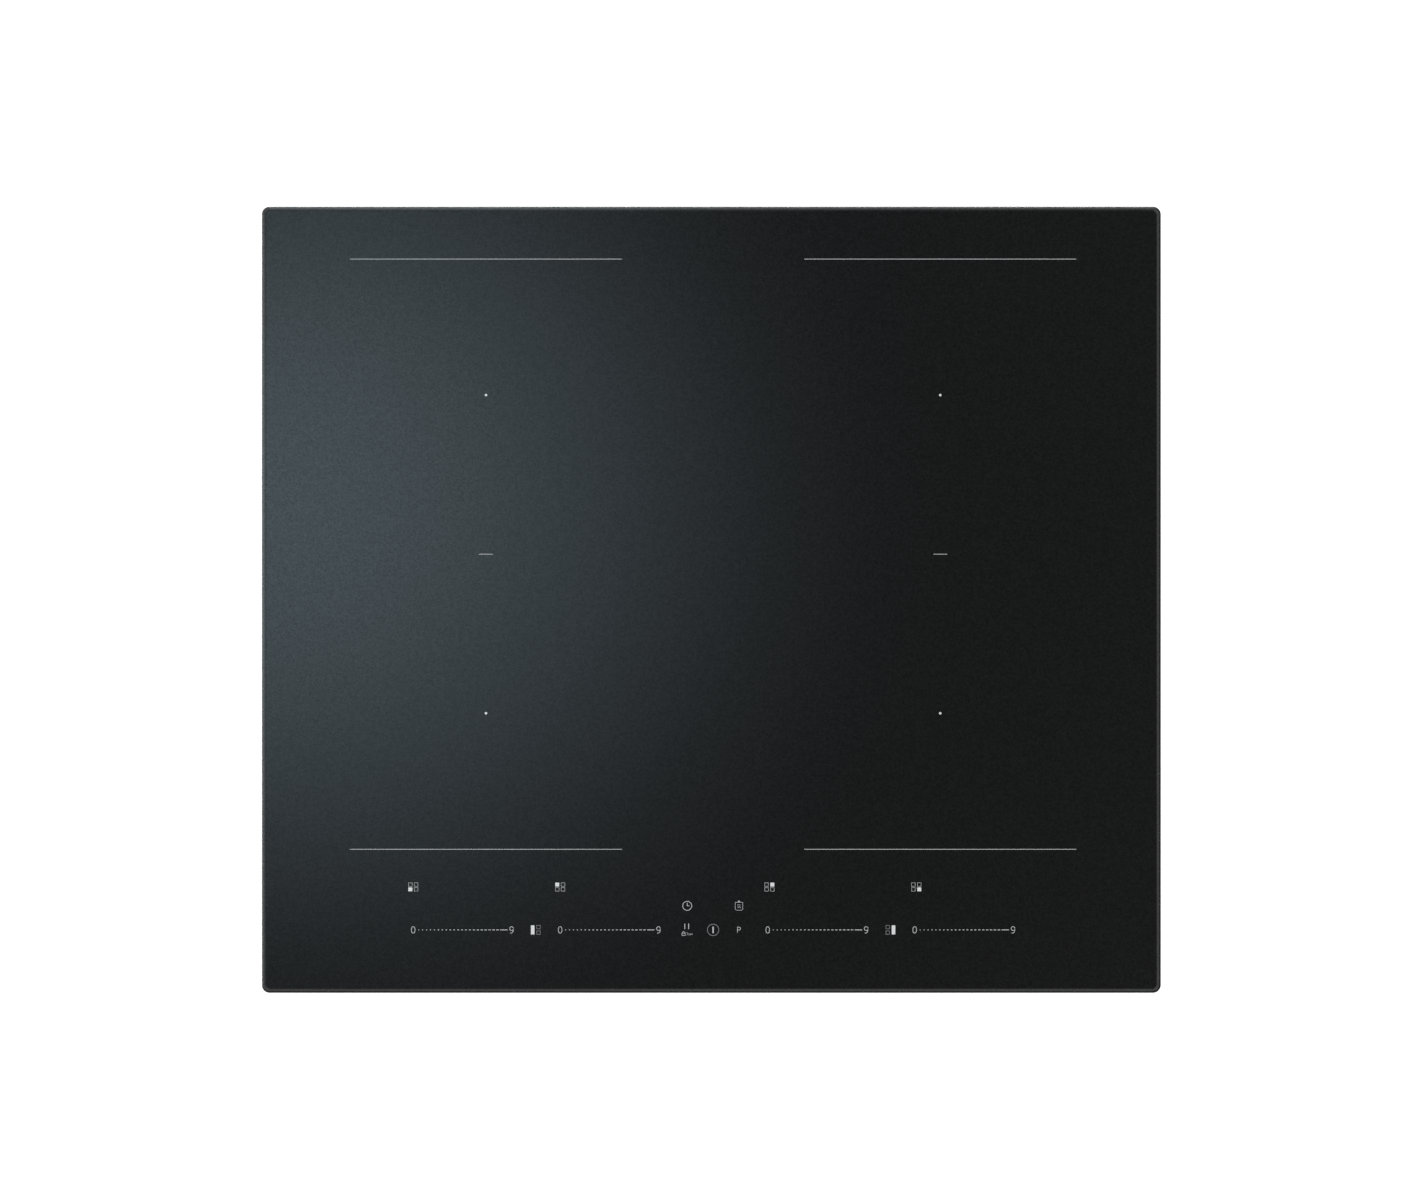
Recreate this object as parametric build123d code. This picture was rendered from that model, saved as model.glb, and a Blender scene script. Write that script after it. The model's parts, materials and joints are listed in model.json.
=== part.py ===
from build123d import *
import math
import os
import numpy

os.makedirs("parts", exist_ok=True)

# A built-in induction cooktop with four round zones, in millimetres. The origin is the centre of the
# worktop surface under the rim. +X points right, +Y to the back and +Z up. The controls are in front.

# Layout of the four zones inside the tray
COIL_DIAMETER = 180.0
COIL_GAP_X = 118.4
COIL_GAP_Y = 29.0
SIDE_MARGIN = 36.7
BACK_MARGIN = 16.5
CONTROL_DEPTH = 76.3

# Glass, seal and support frame
GLASS_THICKNESS = 4.0
GLASS_CORNER = 5.2
EDGE_WIDTH = 3.1
EDGE_ANGLE = 45.0
OVERLAP_X = 15.0
OVERLAP_Y = 13.0
SEAL_HEIGHT = 2.0
SEAL_WIDTH = 9.0
SEAL_INSET = 3.0
BEAD_THICKNESS = 0.8
BEAD_WIDTH = 8.0
BEAD_INSET = 2.5
FRAME_SHEET = 1.0
FRAME_SKIRT = 12.0
FRAME_FLANGE = 12.5
FRAME_BEND = 1.5
FRAME_PLAY = 0.3
CUTOUT_PLAY = 2.0

# Tray
TRAY_SHEET = 0.8
TRAY_CORNER = 16.0
TRAY_BEND = 1.5
LEDGE = 8.0
RIB_WIDTH = 12.0
RIB_DEPTH = 1.4
RIB_FRONT_GAP = 30.0
RIB_LENGTH = 250.0
EXIT_SLOT_WIDTH = 4.0
EXIT_SLOT_HEIGHT = 20.0
EXIT_SLOT_PITCH = 9.0
EXIT_LENGTH = 170.0

# Screws and fixing springs
SCREW_RADIUS = 1.4
SCREW_HEAD_RADIUS = 3.0
SCREW_HEAD_HEIGHT = 1.6
SCREW_LENGTH = 5.5
SCREW_PLAY = 0.1
SCREW_HOLE_RADIUS = 1.9
SCREW_DEPTH = 5.0
SPRING_SHEET = 0.6
SPRING_WIDTH = 24.0
SPRING_FOOT = 9.0
SPRING_BULGE = 4.5
SPRING_REACH = 13.0
SPRING_TAIL = 11.0
SPRING_Y = 130.0

# Coils, from the glass downwards
MICA_THICKNESS = 0.8
WIRE_DIAMETER = 2.4
WIRE_SIDES = 8
WIRE_GAP = 0.5
WIRE_PLAY = 0.2
WINDING_INNER_RADIUS = 27.5
WINDING_EASE = 1.0
LEAD_BEND = 7.0
LEAD_HOLE_PLAY = 1.2
FORMER_PLATE = 2.5
FORMER_LIP = 2.5
FORMER_LIP_GAP = 0.3
FERRITES = 8
FERRITE_WIDTH = 15.0
FERRITE_THICKNESS = 5.0
FERRITE_INNER_RADIUS = 36.0
FERRITE_EDGE = 6.0
FERRITE_POCKET = 1.0
FERRITE_PLAY = 0.3
SENSOR_RADIUS = 7.0
SENSOR_FLANGE = 2.5
SENSOR_FLANGE_HEIGHT = 1.5
SENSOR_PLAY = 0.3
COIL_FLOAT = 1.5
LEAF_SHEET = 0.5
LEAF_WIDTH = 12.0
LEAF_LENGTH = 38.0
LEAF_FOOT = 7.0
LEAF_TOP = 8.0
LEAF_RADIUS = 63.0
PLATE_SHEET = 1.5
PLATE_PLAY = 0.5

# Fans
ROTOR_RADIUS = 36.0
ROTOR_HUB_RADIUS = 20.0
ROTOR_WALL = 1.5
ROTOR_GAP = 1.5
BLADES = 28
BLADE_DEPTH = 8.0
BLADE_SHEET = 1.0
BLADE_SWEEP = 9.0
SCROLL_RADIUS = 42.0
SCROLL_STEP = 5.0
SCROLL_WALL = 2.0
FAN_HEIGHT = 30.0
FAN_BACK_GAP = 6.0
OUTLET_WIDTH = 44.0
OUTLET_LENGTH = 12.0
INLET_RADIUS = 29.0
GUARD_RIB = 2.0
STATOR_GAP = 1.0
STATOR_POLES = 6
STATOR_HEIGHT = 12.0
SHAFT_RADIUS = 1.5
SHAFT_PLAY = 0.05
SHAFT_THRUST = 0.3
BOSS_HEIGHT = 3.0
PRESS_PLAY = 0.02
BEARING_RADIUS = 3.2
BEARING_WALL = 2.0

# Power modules
MODULE_WIDTH = 190.0
CARRIER_GAP = 2.0
CARRIER_WALL = 2.0
CARRIER_PLAY = 0.5
CARRIER_FOOT = 2.5
CARRIER_FLOOR = 1.5
CARRIER_POST = 3.0
CARRIER_RIM = 2.0
POST_RADIUS = 4.0
POST_EDGE = 8.0
BOARD_LENGTH = 215.0
BOARD_SHEET = 1.6
SINK_LENGTH = 130.0
SINK_WIDTH = 42.0
SINK_EDGE = 1.5
SINK_HEIGHT = 25.0
SINK_BASE = 5.0
SINK_FINS = 6
SINK_FIN = 1.6
SINK_GAP = 4.0
TRANSISTORS = 5
TRANSISTOR_WIDTH = 16.0
TRANSISTOR_HEIGHT = 20.0
TRANSISTOR_DEPTH = 5.0
TRANSISTOR_LEG = 4.0
CAPACITORS = 6
CAPACITOR_LENGTH = 34.0
CAPACITOR_WIDTH = 18.0
CAPACITOR_HEIGHT = 26.0
CAPACITOR_PITCH = 28.0
CAPACITOR_EDGE = 18.0
CAPACITOR_START = 22.0
TERMINAL_RADIUS = 3.4
TERMINAL_HEIGHT = 9.0
HEADER_LENGTH = 24.0
HEADER_WIDTH = 7.0
HEADER_HEIGHT = 8.0
HEADROOM = 3.4

# Mains filter and inlet
FILTER_LAP = 28.0
FILTER_BACK_GAP = 26.0
FILTER_GAP = 6.0
CHOKE_RADIUS = 13.0
CHOKE_SECTION = 6.0
FILTER_CAPACITOR_LENGTH = 30.0
FILTER_CAPACITOR_WIDTH = 14.0
FILTER_CAPACITOR_HEIGHT = 20.0
BLOCK_LENGTH = 60.0
BLOCK_WIDTH = 16.0
BLOCK_HEIGHT = 20.0
SUPPLY_DIAMETER = 3.0
SUPPLY_RISE = 9.0
SUPPLY_REACH = 6.0
GLAND_BORE_RADIUS = 5.5
GLAND_NECK_RADIUS = 9.0
GLAND_WALL = 2.0
GLAND_LENGTH = 16.0
GLAND_FLANGE = 3.0
GLAND_FLANGE_THICKNESS = 4.0
GLAND_RELIEF = 1.2
GLAND_PLAY = 0.15
NUT_THICKNESS = 5.0
NUT_WIDTH = 25.0

# Controls
TOUCH_LENGTH = 430.0
TOUCH_FRONT_GAP = 8.0
TOUCH_BACK_GAP = 14.0
TOUCH_WALL = 2.5
TOUCH_PAD_HEIGHT = 3.0
TOUCH_PAD_RADIUS = 3.5
SLIDER_INNER = 68.2
SLIDER_OUTER = 164.7
SLIDER_LENGTH = 56.0
SLIDER_PADS = 6
SLIDER_ROW = 16.0
KEY_PITCH = 17.0
DISPLAY_LENGTH = 16.0
DISPLAY_WIDTH = 9.0
DISPLAY_HEIGHT = 2.4
DISPLAY_ROW = 15.0
TOUCH_HEADER_HEIGHT = 4.5
RIBBON_WIDTH = 18.0
RIBBON_SHEET = 1.0
RIBBON_BEND = 3.0
RIBBON_DROP = 6.0
RIBBON_RISE = 8.0


def grow(size, by):
    return (size[0] + 2 * by, size[1] + 2 * by)


def save(node, *shapes):
    """Write one node; several shapes make a group of separate solids."""
    solids = [solid for shape in shapes for solid in shape.solids()]
    export_step(solids[0] if len(solids) == 1 else Compound(solids), f"parts/{node}.step")
    print(node, len(solids), round(sum(solid.volume for solid in solids), 1))


def block(size, corner, z, height):
    """A rounded rectangular block from z upwards."""
    return Pos(0, 0, z) * extrude(RectangleRounded(*size, corner), height)


def drum(radius, z, height):
    """A round block from z upwards."""
    return Pos(0, 0, z) * extrude(Circle(radius), height)


def brick(length, width, height, edge=0.0):
    """A box that stands on z = 0, with its upright and top edges rounded by edge."""
    shape = Pos(0, 0, height / 2) * Box(length, width, height)
    if edge:
        shape = fillet(shape.edges().filter_by(Axis.Z), edge)
        shape = fillet(shape.faces().sort_by(Axis.Z)[-1].edges(), edge / 2)
    return shape


def strip(points, bend, sheet, width):
    """A bent strip in the XZ plane; the points are its right-hand line, and the width lies along Y."""
    with BuildSketch(Plane.XZ) as outline:
        with BuildLine():
            FilletPolyline(*points, radius=bend)
            offset(amount=sheet, side=Side.LEFT)
        make_face()
    return extrude(outline.sketch, width / 2, both=True)


def bend(start, heading, turned, radius):
    """A quarter turn from one heading to a square one, and the point where it ends."""
    end = start + (heading + turned) * radius
    middle = start + turned * radius + (heading - turned) * (radius * math.sqrt(0.5))
    return ThreePointArc(start, middle, end), end


def tube(edges, section):
    """One unbroken tube of that section along the edges."""
    path = Wire(edges)
    return sweep(Plane(origin=path @ 0, z_dir=path % 0) * section, path=path)


def least_gap(edges, diameter):
    """The least clear distance between parts of one tube that aren't neighbours, on points 1 mm apart."""
    spots, marks, done = [], [], 0.0
    for edge in edges:
        count = max(2, round(edge.length))
        spots += [tuple(edge @ (i / count)) for i in range(count)]
        marks += [done + edge.length * i / count for i in range(count)]
        done += edge.length
    spots, marks = numpy.array(spots), numpy.array(marks)
    least = numpy.inf
    for first in range(0, len(spots), 500):
        apart = numpy.linalg.norm(spots[first:first + 500, None] - spots[None], axis=2)
        far = abs(marks[first:first + 500, None] - marks[None]) > 6 * diameter
        least = min(least, apart[far].min())
    return least - diameter


def screw(length):
    """A pan head screw with its head on z = 0 and its shank below."""
    head = fillet(drum(SCREW_HEAD_RADIUS, 0, SCREW_HEAD_HEIGHT).edges().sort_by(Axis.Z)[-1], 0.7)
    slot = Pos(0, 0, SCREW_HEAD_HEIGHT) * (Box(3.2, 0.7, 1.4) + Box(0.7, 3.2, 1.4))
    return head + drum(SCREW_RADIUS, -length, length) - slot


# Plan sizes, each grown from the one inside it
tray_in = (
    2 * COIL_DIAMETER + COIL_GAP_X + 2 * SIDE_MARGIN,
    BACK_MARGIN + 2 * COIL_DIAMETER + COIL_GAP_Y + CONTROL_DEPTH,
)
tub_in = grow(tray_in, -LEDGE)
tray_out = grow(tray_in, TRAY_SHEET)
frame_in = grow(tray_out, FRAME_PLAY)
frame_out = grow(frame_in, FRAME_SHEET)
cutout = grow(frame_out, CUTOUT_PLAY)
glass = (cutout[0] + 2 * OVERLAP_X, cutout[1] + 2 * OVERLAP_Y)
frame_corner = TRAY_CORNER + TRAY_SHEET + FRAME_PLAY + FRAME_SHEET
coil_x = (COIL_DIAMETER + COIL_GAP_X) / 2
rear_coil_y = tray_in[1] / 2 - BACK_MARGIN - COIL_DIAMETER / 2
front_coil_y = rear_coil_y - COIL_DIAMETER - COIL_GAP_Y
tub_back = tub_in[1] / 2

# Heights, from the glass downwards
glass_z = SEAL_HEIGHT
flange_top = glass_z - BEAD_THICKNESS
rim_z = flange_top - FRAME_SHEET
mica_z = glass_z - MICA_THICKNESS
wire_z = mica_z - WIRE_PLAY - WIRE_DIAMETER / 2
former_top = wire_z - WIRE_DIAMETER / 2 - WIRE_PLAY
former_z = former_top - FORMER_PLATE
ferrite_z = former_z + FERRITE_POCKET - FERRITE_THICKNESS
plate_top = ferrite_z - COIL_FLOAT
ledge_z = plate_top - PLATE_SHEET
board_rise = CARRIER_FOOT + CARRIER_FLOOR + CARRIER_POST
part_height = max(CAPACITOR_HEIGHT, SINK_HEIGHT, BLOCK_HEIGHT, TRANSISTOR_LEG + TRANSISTOR_HEIGHT)
tallest = max(board_rise + BOARD_SHEET + part_height, FAN_HEIGHT)
floor_z = ledge_z - HEADROOM - tallest
board_z = floor_z + board_rise
board_top = board_z + BOARD_SHEET
screw_z = flange_top - SCREW_DEPTH

# Glass: a slab with a full round edge, cut to the outline where the round has turned by EDGE_ANGLE
edge_radius = EDGE_WIDTH / math.sin(math.radians(EDGE_ANGLE))
edge_spare = edge_radius - EDGE_WIDTH
slab_top = glass_z + GLASS_THICKNESS
slab = block(grow(glass, edge_spare), GLASS_CORNER + edge_spare, slab_top - 2 * edge_radius, 2 * edge_radius)
slab = fillet(slab.faces().sort_by(Axis.Z)[-1].edges(), edge_radius)
pane = slab & block(glass, GLASS_CORNER, glass_z, GLASS_THICKNESS)
save("glass_top", pane)

seal_out = grow(glass, -SEAL_INSET)
seal = block(seal_out, GLASS_CORNER, 0, SEAL_HEIGHT)
save("rim_seal", seal - block(grow(seal_out, -SEAL_WIDTH), GLASS_CORNER, 0, SEAL_HEIGHT))

bead_out = grow(frame_out, -BEAD_INSET)
bead_corner = frame_corner - BEAD_INSET
bead = block(bead_out, bead_corner, flange_top, BEAD_THICKNESS)
bead_in = block(grow(bead_out, -BEAD_WIDTH), bead_corner - BEAD_WIDTH, flange_top, BEAD_THICKNESS)
save("glass_bead", bead - bead_in)

# Screws of the skirt: an outward angle and a place along each side, then the same for the springs
spots = [(0, y) for y in (-60.0, 60.0)] + [(180, y) for y in (-60.0, 60.0)]
spots += [(turn, x) for turn in (90, 270) for x in (-180.0, 0.0, 180.0)]
spring_spots = [(turn, y) for turn in (0, 180) for y in (-SPRING_Y, SPRING_Y)]


def on_skirt(turn, along, lift=0.0):
    """A place on the skirt's outer face with local +X outwards."""
    out = frame_out[0] / 2 if turn in (0, 180) else frame_out[1] / 2
    side = along if turn in (0, 270) else -along
    return Rot(0, 0, turn) * Pos(out + lift, side, screw_z)


def cross_holes(radius):
    """Round cutters through the skirt and the tray wall at every screw."""
    cutter = Rot(0, 90, 0) * Cylinder(radius, 4 * (FRAME_SHEET + FRAME_PLAY + TRAY_SHEET))
    return [on_skirt(*spot) * cutter for spot in spots + spring_spots]


frame = block(frame_out, frame_corner, flange_top - FRAME_SKIRT, FRAME_SKIRT)
frame = fillet(frame.faces().sort_by(Axis.Z)[-1].edges(), FRAME_BEND)
frame -= block(frame_in, frame_corner - FRAME_SHEET, flange_top - FRAME_SKIRT, FRAME_SKIRT - FRAME_SHEET)
frame -= block(grow(frame_out, -FRAME_FLANGE), frame_corner - FRAME_FLANGE, rim_z, FRAME_SHEET)
save("support_frame", frame - cross_holes(SCREW_HOLE_RADIUS))


def pan(upper, lower, corner, ledge, bottom, out_bend, in_bend):
    """A stepped block: a wide part above the ledge, a narrower one below, and round bends between them."""
    shape = block(upper, corner, ledge, rim_z - ledge)
    shape += block(lower, corner - LEDGE, bottom, ledge - bottom)

    def step():
        flat = shape.faces().filter_by(Plane.XY).filter_by_position(Axis.Z, ledge - 0.01, ledge + 0.01)
        return flat.sort_by(SortBy.AREA)[-1]

    low = shape.faces().sort_by(Axis.Z)[0].edges()
    shape = fillet(list(low) + list(step().outer_wire().edges()), out_bend)
    return fillet(step().inner_wires()[0].edges(), in_bend)


def rib(grown, z, height):
    """The stiffening ribs pressed into the tray floor, as slots that can be grown by the sheet."""
    slot = SlotOverall(RIB_LENGTH + 2 * grown, RIB_WIDTH + 2 * grown, rotation=90)
    y = -tub_back + RIB_FRONT_GAP + RIB_LENGTH / 2
    return [Pos(x, y, z) * extrude(slot, height) for x in (-coil_x, 0, coil_x)]


scroll_end = SCROLL_RADIUS + 3 * SCROLL_STEP
scroll_top = SCROLL_RADIUS + SCROLL_STEP
fan_x = scroll_end + SCROLL_WALL - MODULE_WIDTH / 2
fan_y = tub_back - FAN_BACK_GAP - SCROLL_WALL - scroll_top
outlet_y = fan_y - SCROLL_RADIUS - OUTLET_LENGTH
sides = {"left": -coil_x, "right": coil_x}
gland_z = (ledge_z + floor_z) / 2
outer_floor = floor_z - TRAY_SHEET

outside = pan(
    tray_out, grow(tub_in, TRAY_SHEET), TRAY_CORNER + TRAY_SHEET, ledge_z - TRAY_SHEET, outer_floor,
    TRAY_BEND + TRAY_SHEET, TRAY_BEND,
)
inside = pan(tray_in, tub_in, TRAY_CORNER, ledge_z, floor_z, TRAY_BEND, TRAY_BEND + TRAY_SHEET)
tray = outside - rib(0, outer_floor, RIB_DEPTH) - (inside - rib(TRAY_SHEET, floor_z, RIB_DEPTH))
exit_count = int(EXIT_LENGTH / EXIT_SLOT_PITCH) + 1
exit_slot = extrude(
    Plane.XZ * SlotOverall(EXIT_SLOT_HEIGHT, EXIT_SLOT_WIDTH, rotation=90), 2 * TRAY_SHEET, both=True
)
exits = [
    Pos(x + EXIT_SLOT_PITCH * (i - (exit_count - 1) / 2), -tub_back, gland_z) * exit_slot
    for x in sides.values()
    for i in range(exit_count)
]
intakes = [
    Pos(x, fan_y, outer_floor) * drum(INLET_RADIUS, 0, TRAY_SHEET) for x in (fan_x - coil_x, coil_x - fan_x)
]
gland_hole = Pos(0, tub_back, gland_z) * Rot(-90, 0, 0) * Cylinder(
    GLAND_NECK_RADIUS + GLAND_PLAY, 4 * TRAY_SHEET
)
tray = tray - exits - intakes - gland_hole - cross_holes(SCREW_RADIUS + SCREW_PLAY)
save("base_tray", tray)

skirt_screw = Rot(0, 90, 0) * screw(SCREW_LENGTH)
screws = [on_skirt(*spot) * skirt_screw for spot in spots]
save("frame_screws", *screws, *[on_skirt(*spot, SPRING_SHEET) * skirt_screw for spot in spring_spots])

foot_top = SPRING_FOOT / 2
leaf = strip(
    [
        (0, foot_top),
        (0, -foot_top),
        (SPRING_BULGE, -foot_top - SPRING_REACH),
        (0, -foot_top - SPRING_REACH - SPRING_TAIL),
    ],
    3.0, SPRING_SHEET, SPRING_WIDTH,
)
leaf -= Rot(0, 90, 0) * Cylinder(SCREW_HOLE_RADIUS, 6 * SPRING_SHEET)
save("fixing_springs", *[on_skirt(*spot) * leaf for spot in spring_spots])

# Coils, made once about the coil's own centre with their leads towards local -Y
pitch = WIRE_DIAMETER + WIRE_GAP
coil_radius = COIL_DIAMETER / 2
wire_edge = coil_radius - FORMER_LIP - FORMER_LIP_GAP
lead_y = wire_edge - WIRE_DIAMETER / 2
turns = int((lead_y - WINDING_INNER_RADIUS) / pitch)
inner_bend = (wire_z - (former_z + plate_top) / 2) / 2
lead_end = board_top + TERMINAL_HEIGHT
down, right, front = Vector(0, 0, -1), Vector(1, 0, 0), Vector(0, -1, 0)

outer_start = Vector(0, -lead_y, wire_z)
outer_arc, outer_drop = bend(outer_start, -right, down, LEAD_BEND)
edges = [Line((outer_drop.X, outer_drop.Y, lead_end), outer_drop), ThreePointArc(*[
    outer_arc @ share for share in (1, 0.5, 0)
])]
y = -lead_y
for half in range(2 * turns):
    radius = lead_y - pitch / 4 - half * pitch / 2
    if half == 2 * turns - 1:
        radius -= WINDING_EASE
    side = 1 if half % 2 == 0 else -1
    centre = y + side * radius
    edges.append(
        ThreePointArc((0, y, wire_z), (side * radius, centre, wire_z), (0, centre + side * radius, wire_z))
    )
    y = centre + side * radius
inner_y = y
arc, point = bend(Vector(0, inner_y, wire_z), right, down, inner_bend)
edges.append(arc)
arc, point = bend(point, down, front, inner_bend)
edges.append(arc)
run_end = Vector(point.X, -lead_y + inner_bend, point.Z)
edges.append(Line(point, run_end))
arc, inner_drop = bend(run_end, front, down, inner_bend)
edges.append(arc)
edges.append(Line(inner_drop, (inner_drop.X, inner_drop.Y, lead_end)))
# The wire is a bundle of fine strands, so its section has a few flat sides
winding = tube(edges, RegularPolygon(WIRE_DIAMETER / 2, WIRE_SIDES))
print("least gap of a winding to itself", round(least_gap(edges, WIRE_DIAMETER), 3))
lead_spots = [(outer_drop.X, outer_drop.Y), (inner_drop.X, inner_drop.Y)]

inner_lip = WINDING_INNER_RADIUS - 2 * WINDING_EASE - WIRE_DIAMETER / 2 - FORMER_LIP_GAP
lip_height = mica_z - former_top
former = drum(coil_radius, former_z, FORMER_PLATE)
former += drum(coil_radius, former_top, lip_height) - drum(coil_radius - FORMER_LIP, former_top, lip_height)
former += drum(inner_lip, former_top, lip_height) - drum(inner_lip - FORMER_LIP, former_top, lip_height)
former -= drum(SENSOR_RADIUS + SENSOR_PLAY, former_z, FORMER_PLATE)
ferrite_length = coil_radius - FERRITE_EDGE - FERRITE_INNER_RADIUS
ferrite_middle = FERRITE_INNER_RADIUS + ferrite_length / 2
angles = [90 + (i + 0.5) * 360 / FERRITES for i in range(FERRITES)]
ferrite = Pos(ferrite_middle, 0, ferrite_z) * brick(ferrite_length, FERRITE_WIDTH, FERRITE_THICKNESS)
pocket = Pos(ferrite_middle, 0, former_z) * brick(
    ferrite_length + 2 * FERRITE_PLAY, FERRITE_WIDTH + 2 * FERRITE_PLAY, FERRITE_POCKET
)
former -= [Rot(0, 0, angle) * pocket for angle in angles]
slot_width = WIRE_DIAMETER + 2 * WIRE_PLAY
outer_slot = Pos(-LEAD_BEND / 2, -lead_y, former_z) * extrude(
    SlotOverall(LEAD_BEND + slot_width, slot_width), mica_z - former_z
)
inner_slot = Pos(inner_bend / 2, inner_y - inner_bend / 2, former_z) * extrude(
    RectangleRounded(inner_bend + slot_width, inner_bend + slot_width, slot_width / 3), FORMER_PLATE
)
former = former - outer_slot - inner_slot

mica = drum(coil_radius, mica_z, MICA_THICKNESS) - drum(SENSOR_RADIUS + SENSOR_PLAY, mica_z, MICA_THICKNESS)
sensor = drum(SENSOR_RADIUS, former_z, glass_z - former_z)
sensor += drum(SENSOR_RADIUS + SENSOR_FLANGE, former_z - SENSOR_FLANGE_HEIGHT, SENSOR_FLANGE_HEIGHT)

leaf_rise = former_z - plate_top - LEAF_SHEET
leaf_half = LEAF_LENGTH / 2
coil_leaf = strip(
    [
        (-leaf_half, 0),
        (LEAF_FOOT - leaf_half, 0),
        (-LEAF_TOP / 2, leaf_rise),
        (LEAF_TOP / 2, leaf_rise),
        (leaf_half - LEAF_FOOT, 0),
        (leaf_half, 0),
    ],
    2.0, LEAF_SHEET, LEAF_WIDTH,
)
leaf_angles = [45 + 90 * i for i in range(4)]
leaves = [Rot(0, 0, angle) * Pos(LEAF_RADIUS, 0, plate_top) * coil_leaf for angle in leaf_angles]

coils = {
    "rear_left": Pos(-coil_x, rear_coil_y),
    "rear_right": Pos(coil_x, rear_coil_y),
    "front_left": Pos(-coil_x, front_coil_y) * Rot(0, 0, 180),
    "front_right": Pos(coil_x, front_coil_y) * Rot(0, 0, 180),
}
for name, place in coils.items():
    save(f"coil_winding_{name}", place * winding)
    save(f"coil_former_{name}", place * former)
    save(f"ferrite_bars_{name}", *[place * Rot(0, 0, angle) * ferrite for angle in angles])
    save(f"mica_disc_{name}", place * mica)
save("pan_sensors", *[place * sensor for place in coils.values()])
save("coil_springs", *[place * item for place in coils.values() for item in leaves])

# Coil plate on the ledge, with holes for the leads and slots for the ribbon cables
front_wall = -tray_in[1] / 2
touch_depth = CONTROL_DEPTH - TOUCH_FRONT_GAP - TOUCH_BACK_GAP
touch_y = front_wall + TOUCH_FRONT_GAP + touch_depth / 2
touch_back = touch_y + touch_depth / 2
ribbon_y = touch_back + RIBBON_DROP
plate_size = grow(tray_in, -TRAY_BEND - PLATE_PLAY)
plate = block(plate_size, TRAY_CORNER - TRAY_BEND - PLATE_PLAY, ledge_z, PLATE_SHEET)
lead_hole = drum(WIRE_DIAMETER / 2 + LEAD_HOLE_PLAY, ledge_z, PLATE_SHEET)
plate -= [place * Pos(*spot) * lead_hole for place in coils.values() for spot in lead_spots]
ribbon_slot = extrude(RectangleRounded(RIBBON_WIDTH + 4, RIBBON_SHEET + 5, 2), PLATE_SHEET)
plate -= [Pos(x, ribbon_y + RIBBON_SHEET / 2, ledge_z) * ribbon_slot for x in sides.values()]
save("coil_plate", plate)

# Fans, made once about the rotor's own axis, standing on z = 0
corner_y = -math.sqrt(SCROLL_RADIUS**2 - (scroll_end - OUTLET_WIDTH) ** 2)
outlet_right = OUTLET_WIDTH - scroll_end
outlet_front = -SCROLL_RADIUS - OUTLET_LENGTH
tongue = math.degrees(math.atan2(corner_y, outlet_right))

with BuildSketch() as scroll_plan:
    with BuildLine():
        CenterArc((0, 0), SCROLL_RADIUS, tongue, -90 - tongue)
        CenterArc((0, 0), SCROLL_RADIUS, -90, 90)
        CenterArc((-SCROLL_STEP, 0), SCROLL_RADIUS + SCROLL_STEP, 0, 90)
        CenterArc((-SCROLL_STEP, -SCROLL_STEP), SCROLL_RADIUS + 2 * SCROLL_STEP, 90, 90)
        Polyline(
            (-scroll_end, -SCROLL_STEP),
            (-scroll_end, outlet_front),
            (outlet_right, outlet_front),
            (outlet_right, corner_y),
        )
    make_face()
scroll = scroll_plan.sketch
mouth = Pos(0, outlet_front - SCROLL_WALL) * Rectangle(4 * scroll_end, 2 * SCROLL_WALL)
scroll_wall = offset(scroll, SCROLL_WALL) - mouth
cover_z = FAN_HEIGHT - SCROLL_WALL
rib_step = INLET_RADIUS / 3
guard = Sketch() + [
    Circle(i * rib_step + GUARD_RIB / 2) - Circle(i * rib_step - GUARD_RIB / 2) for i in (1, 2)
]
guard += [Rot(0, 0, 60 * i) * Rectangle(2 * INLET_RADIUS, GUARD_RIB) for i in range(3)]
inlet_plate = scroll_wall - Circle(INLET_RADIUS) + (guard & Circle(INLET_RADIUS))
housing = extrude(inlet_plate, SCROLL_WALL)
housing += Pos(0, 0, SCROLL_WALL) * extrude(scroll_wall - scroll, cover_z - SCROLL_WALL)

rotor_z = SCROLL_WALL + ROTOR_GAP
rotor_top = cover_z - ROTOR_GAP
cup_top = rotor_z + ROTOR_WALL
boss_top = cup_top + BOSS_HEIGHT
tube_z = boss_top + ROTOR_GAP
tube_radius = BEARING_RADIUS + BEARING_WALL
tube_wall = drum(tube_radius, tube_z, cover_z - tube_z) - drum(
    BEARING_RADIUS + PRESS_PLAY, tube_z, cover_z - tube_z
)
cover = Pos(0, 0, cover_z) * extrude(scroll_wall, SCROLL_WALL) + tube_wall
bush = drum(BEARING_RADIUS, tube_z, cover_z - tube_z - SHAFT_THRUST)
bush -= drum(SHAFT_RADIUS + SHAFT_PLAY, tube_z, cover_z - tube_z)

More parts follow.
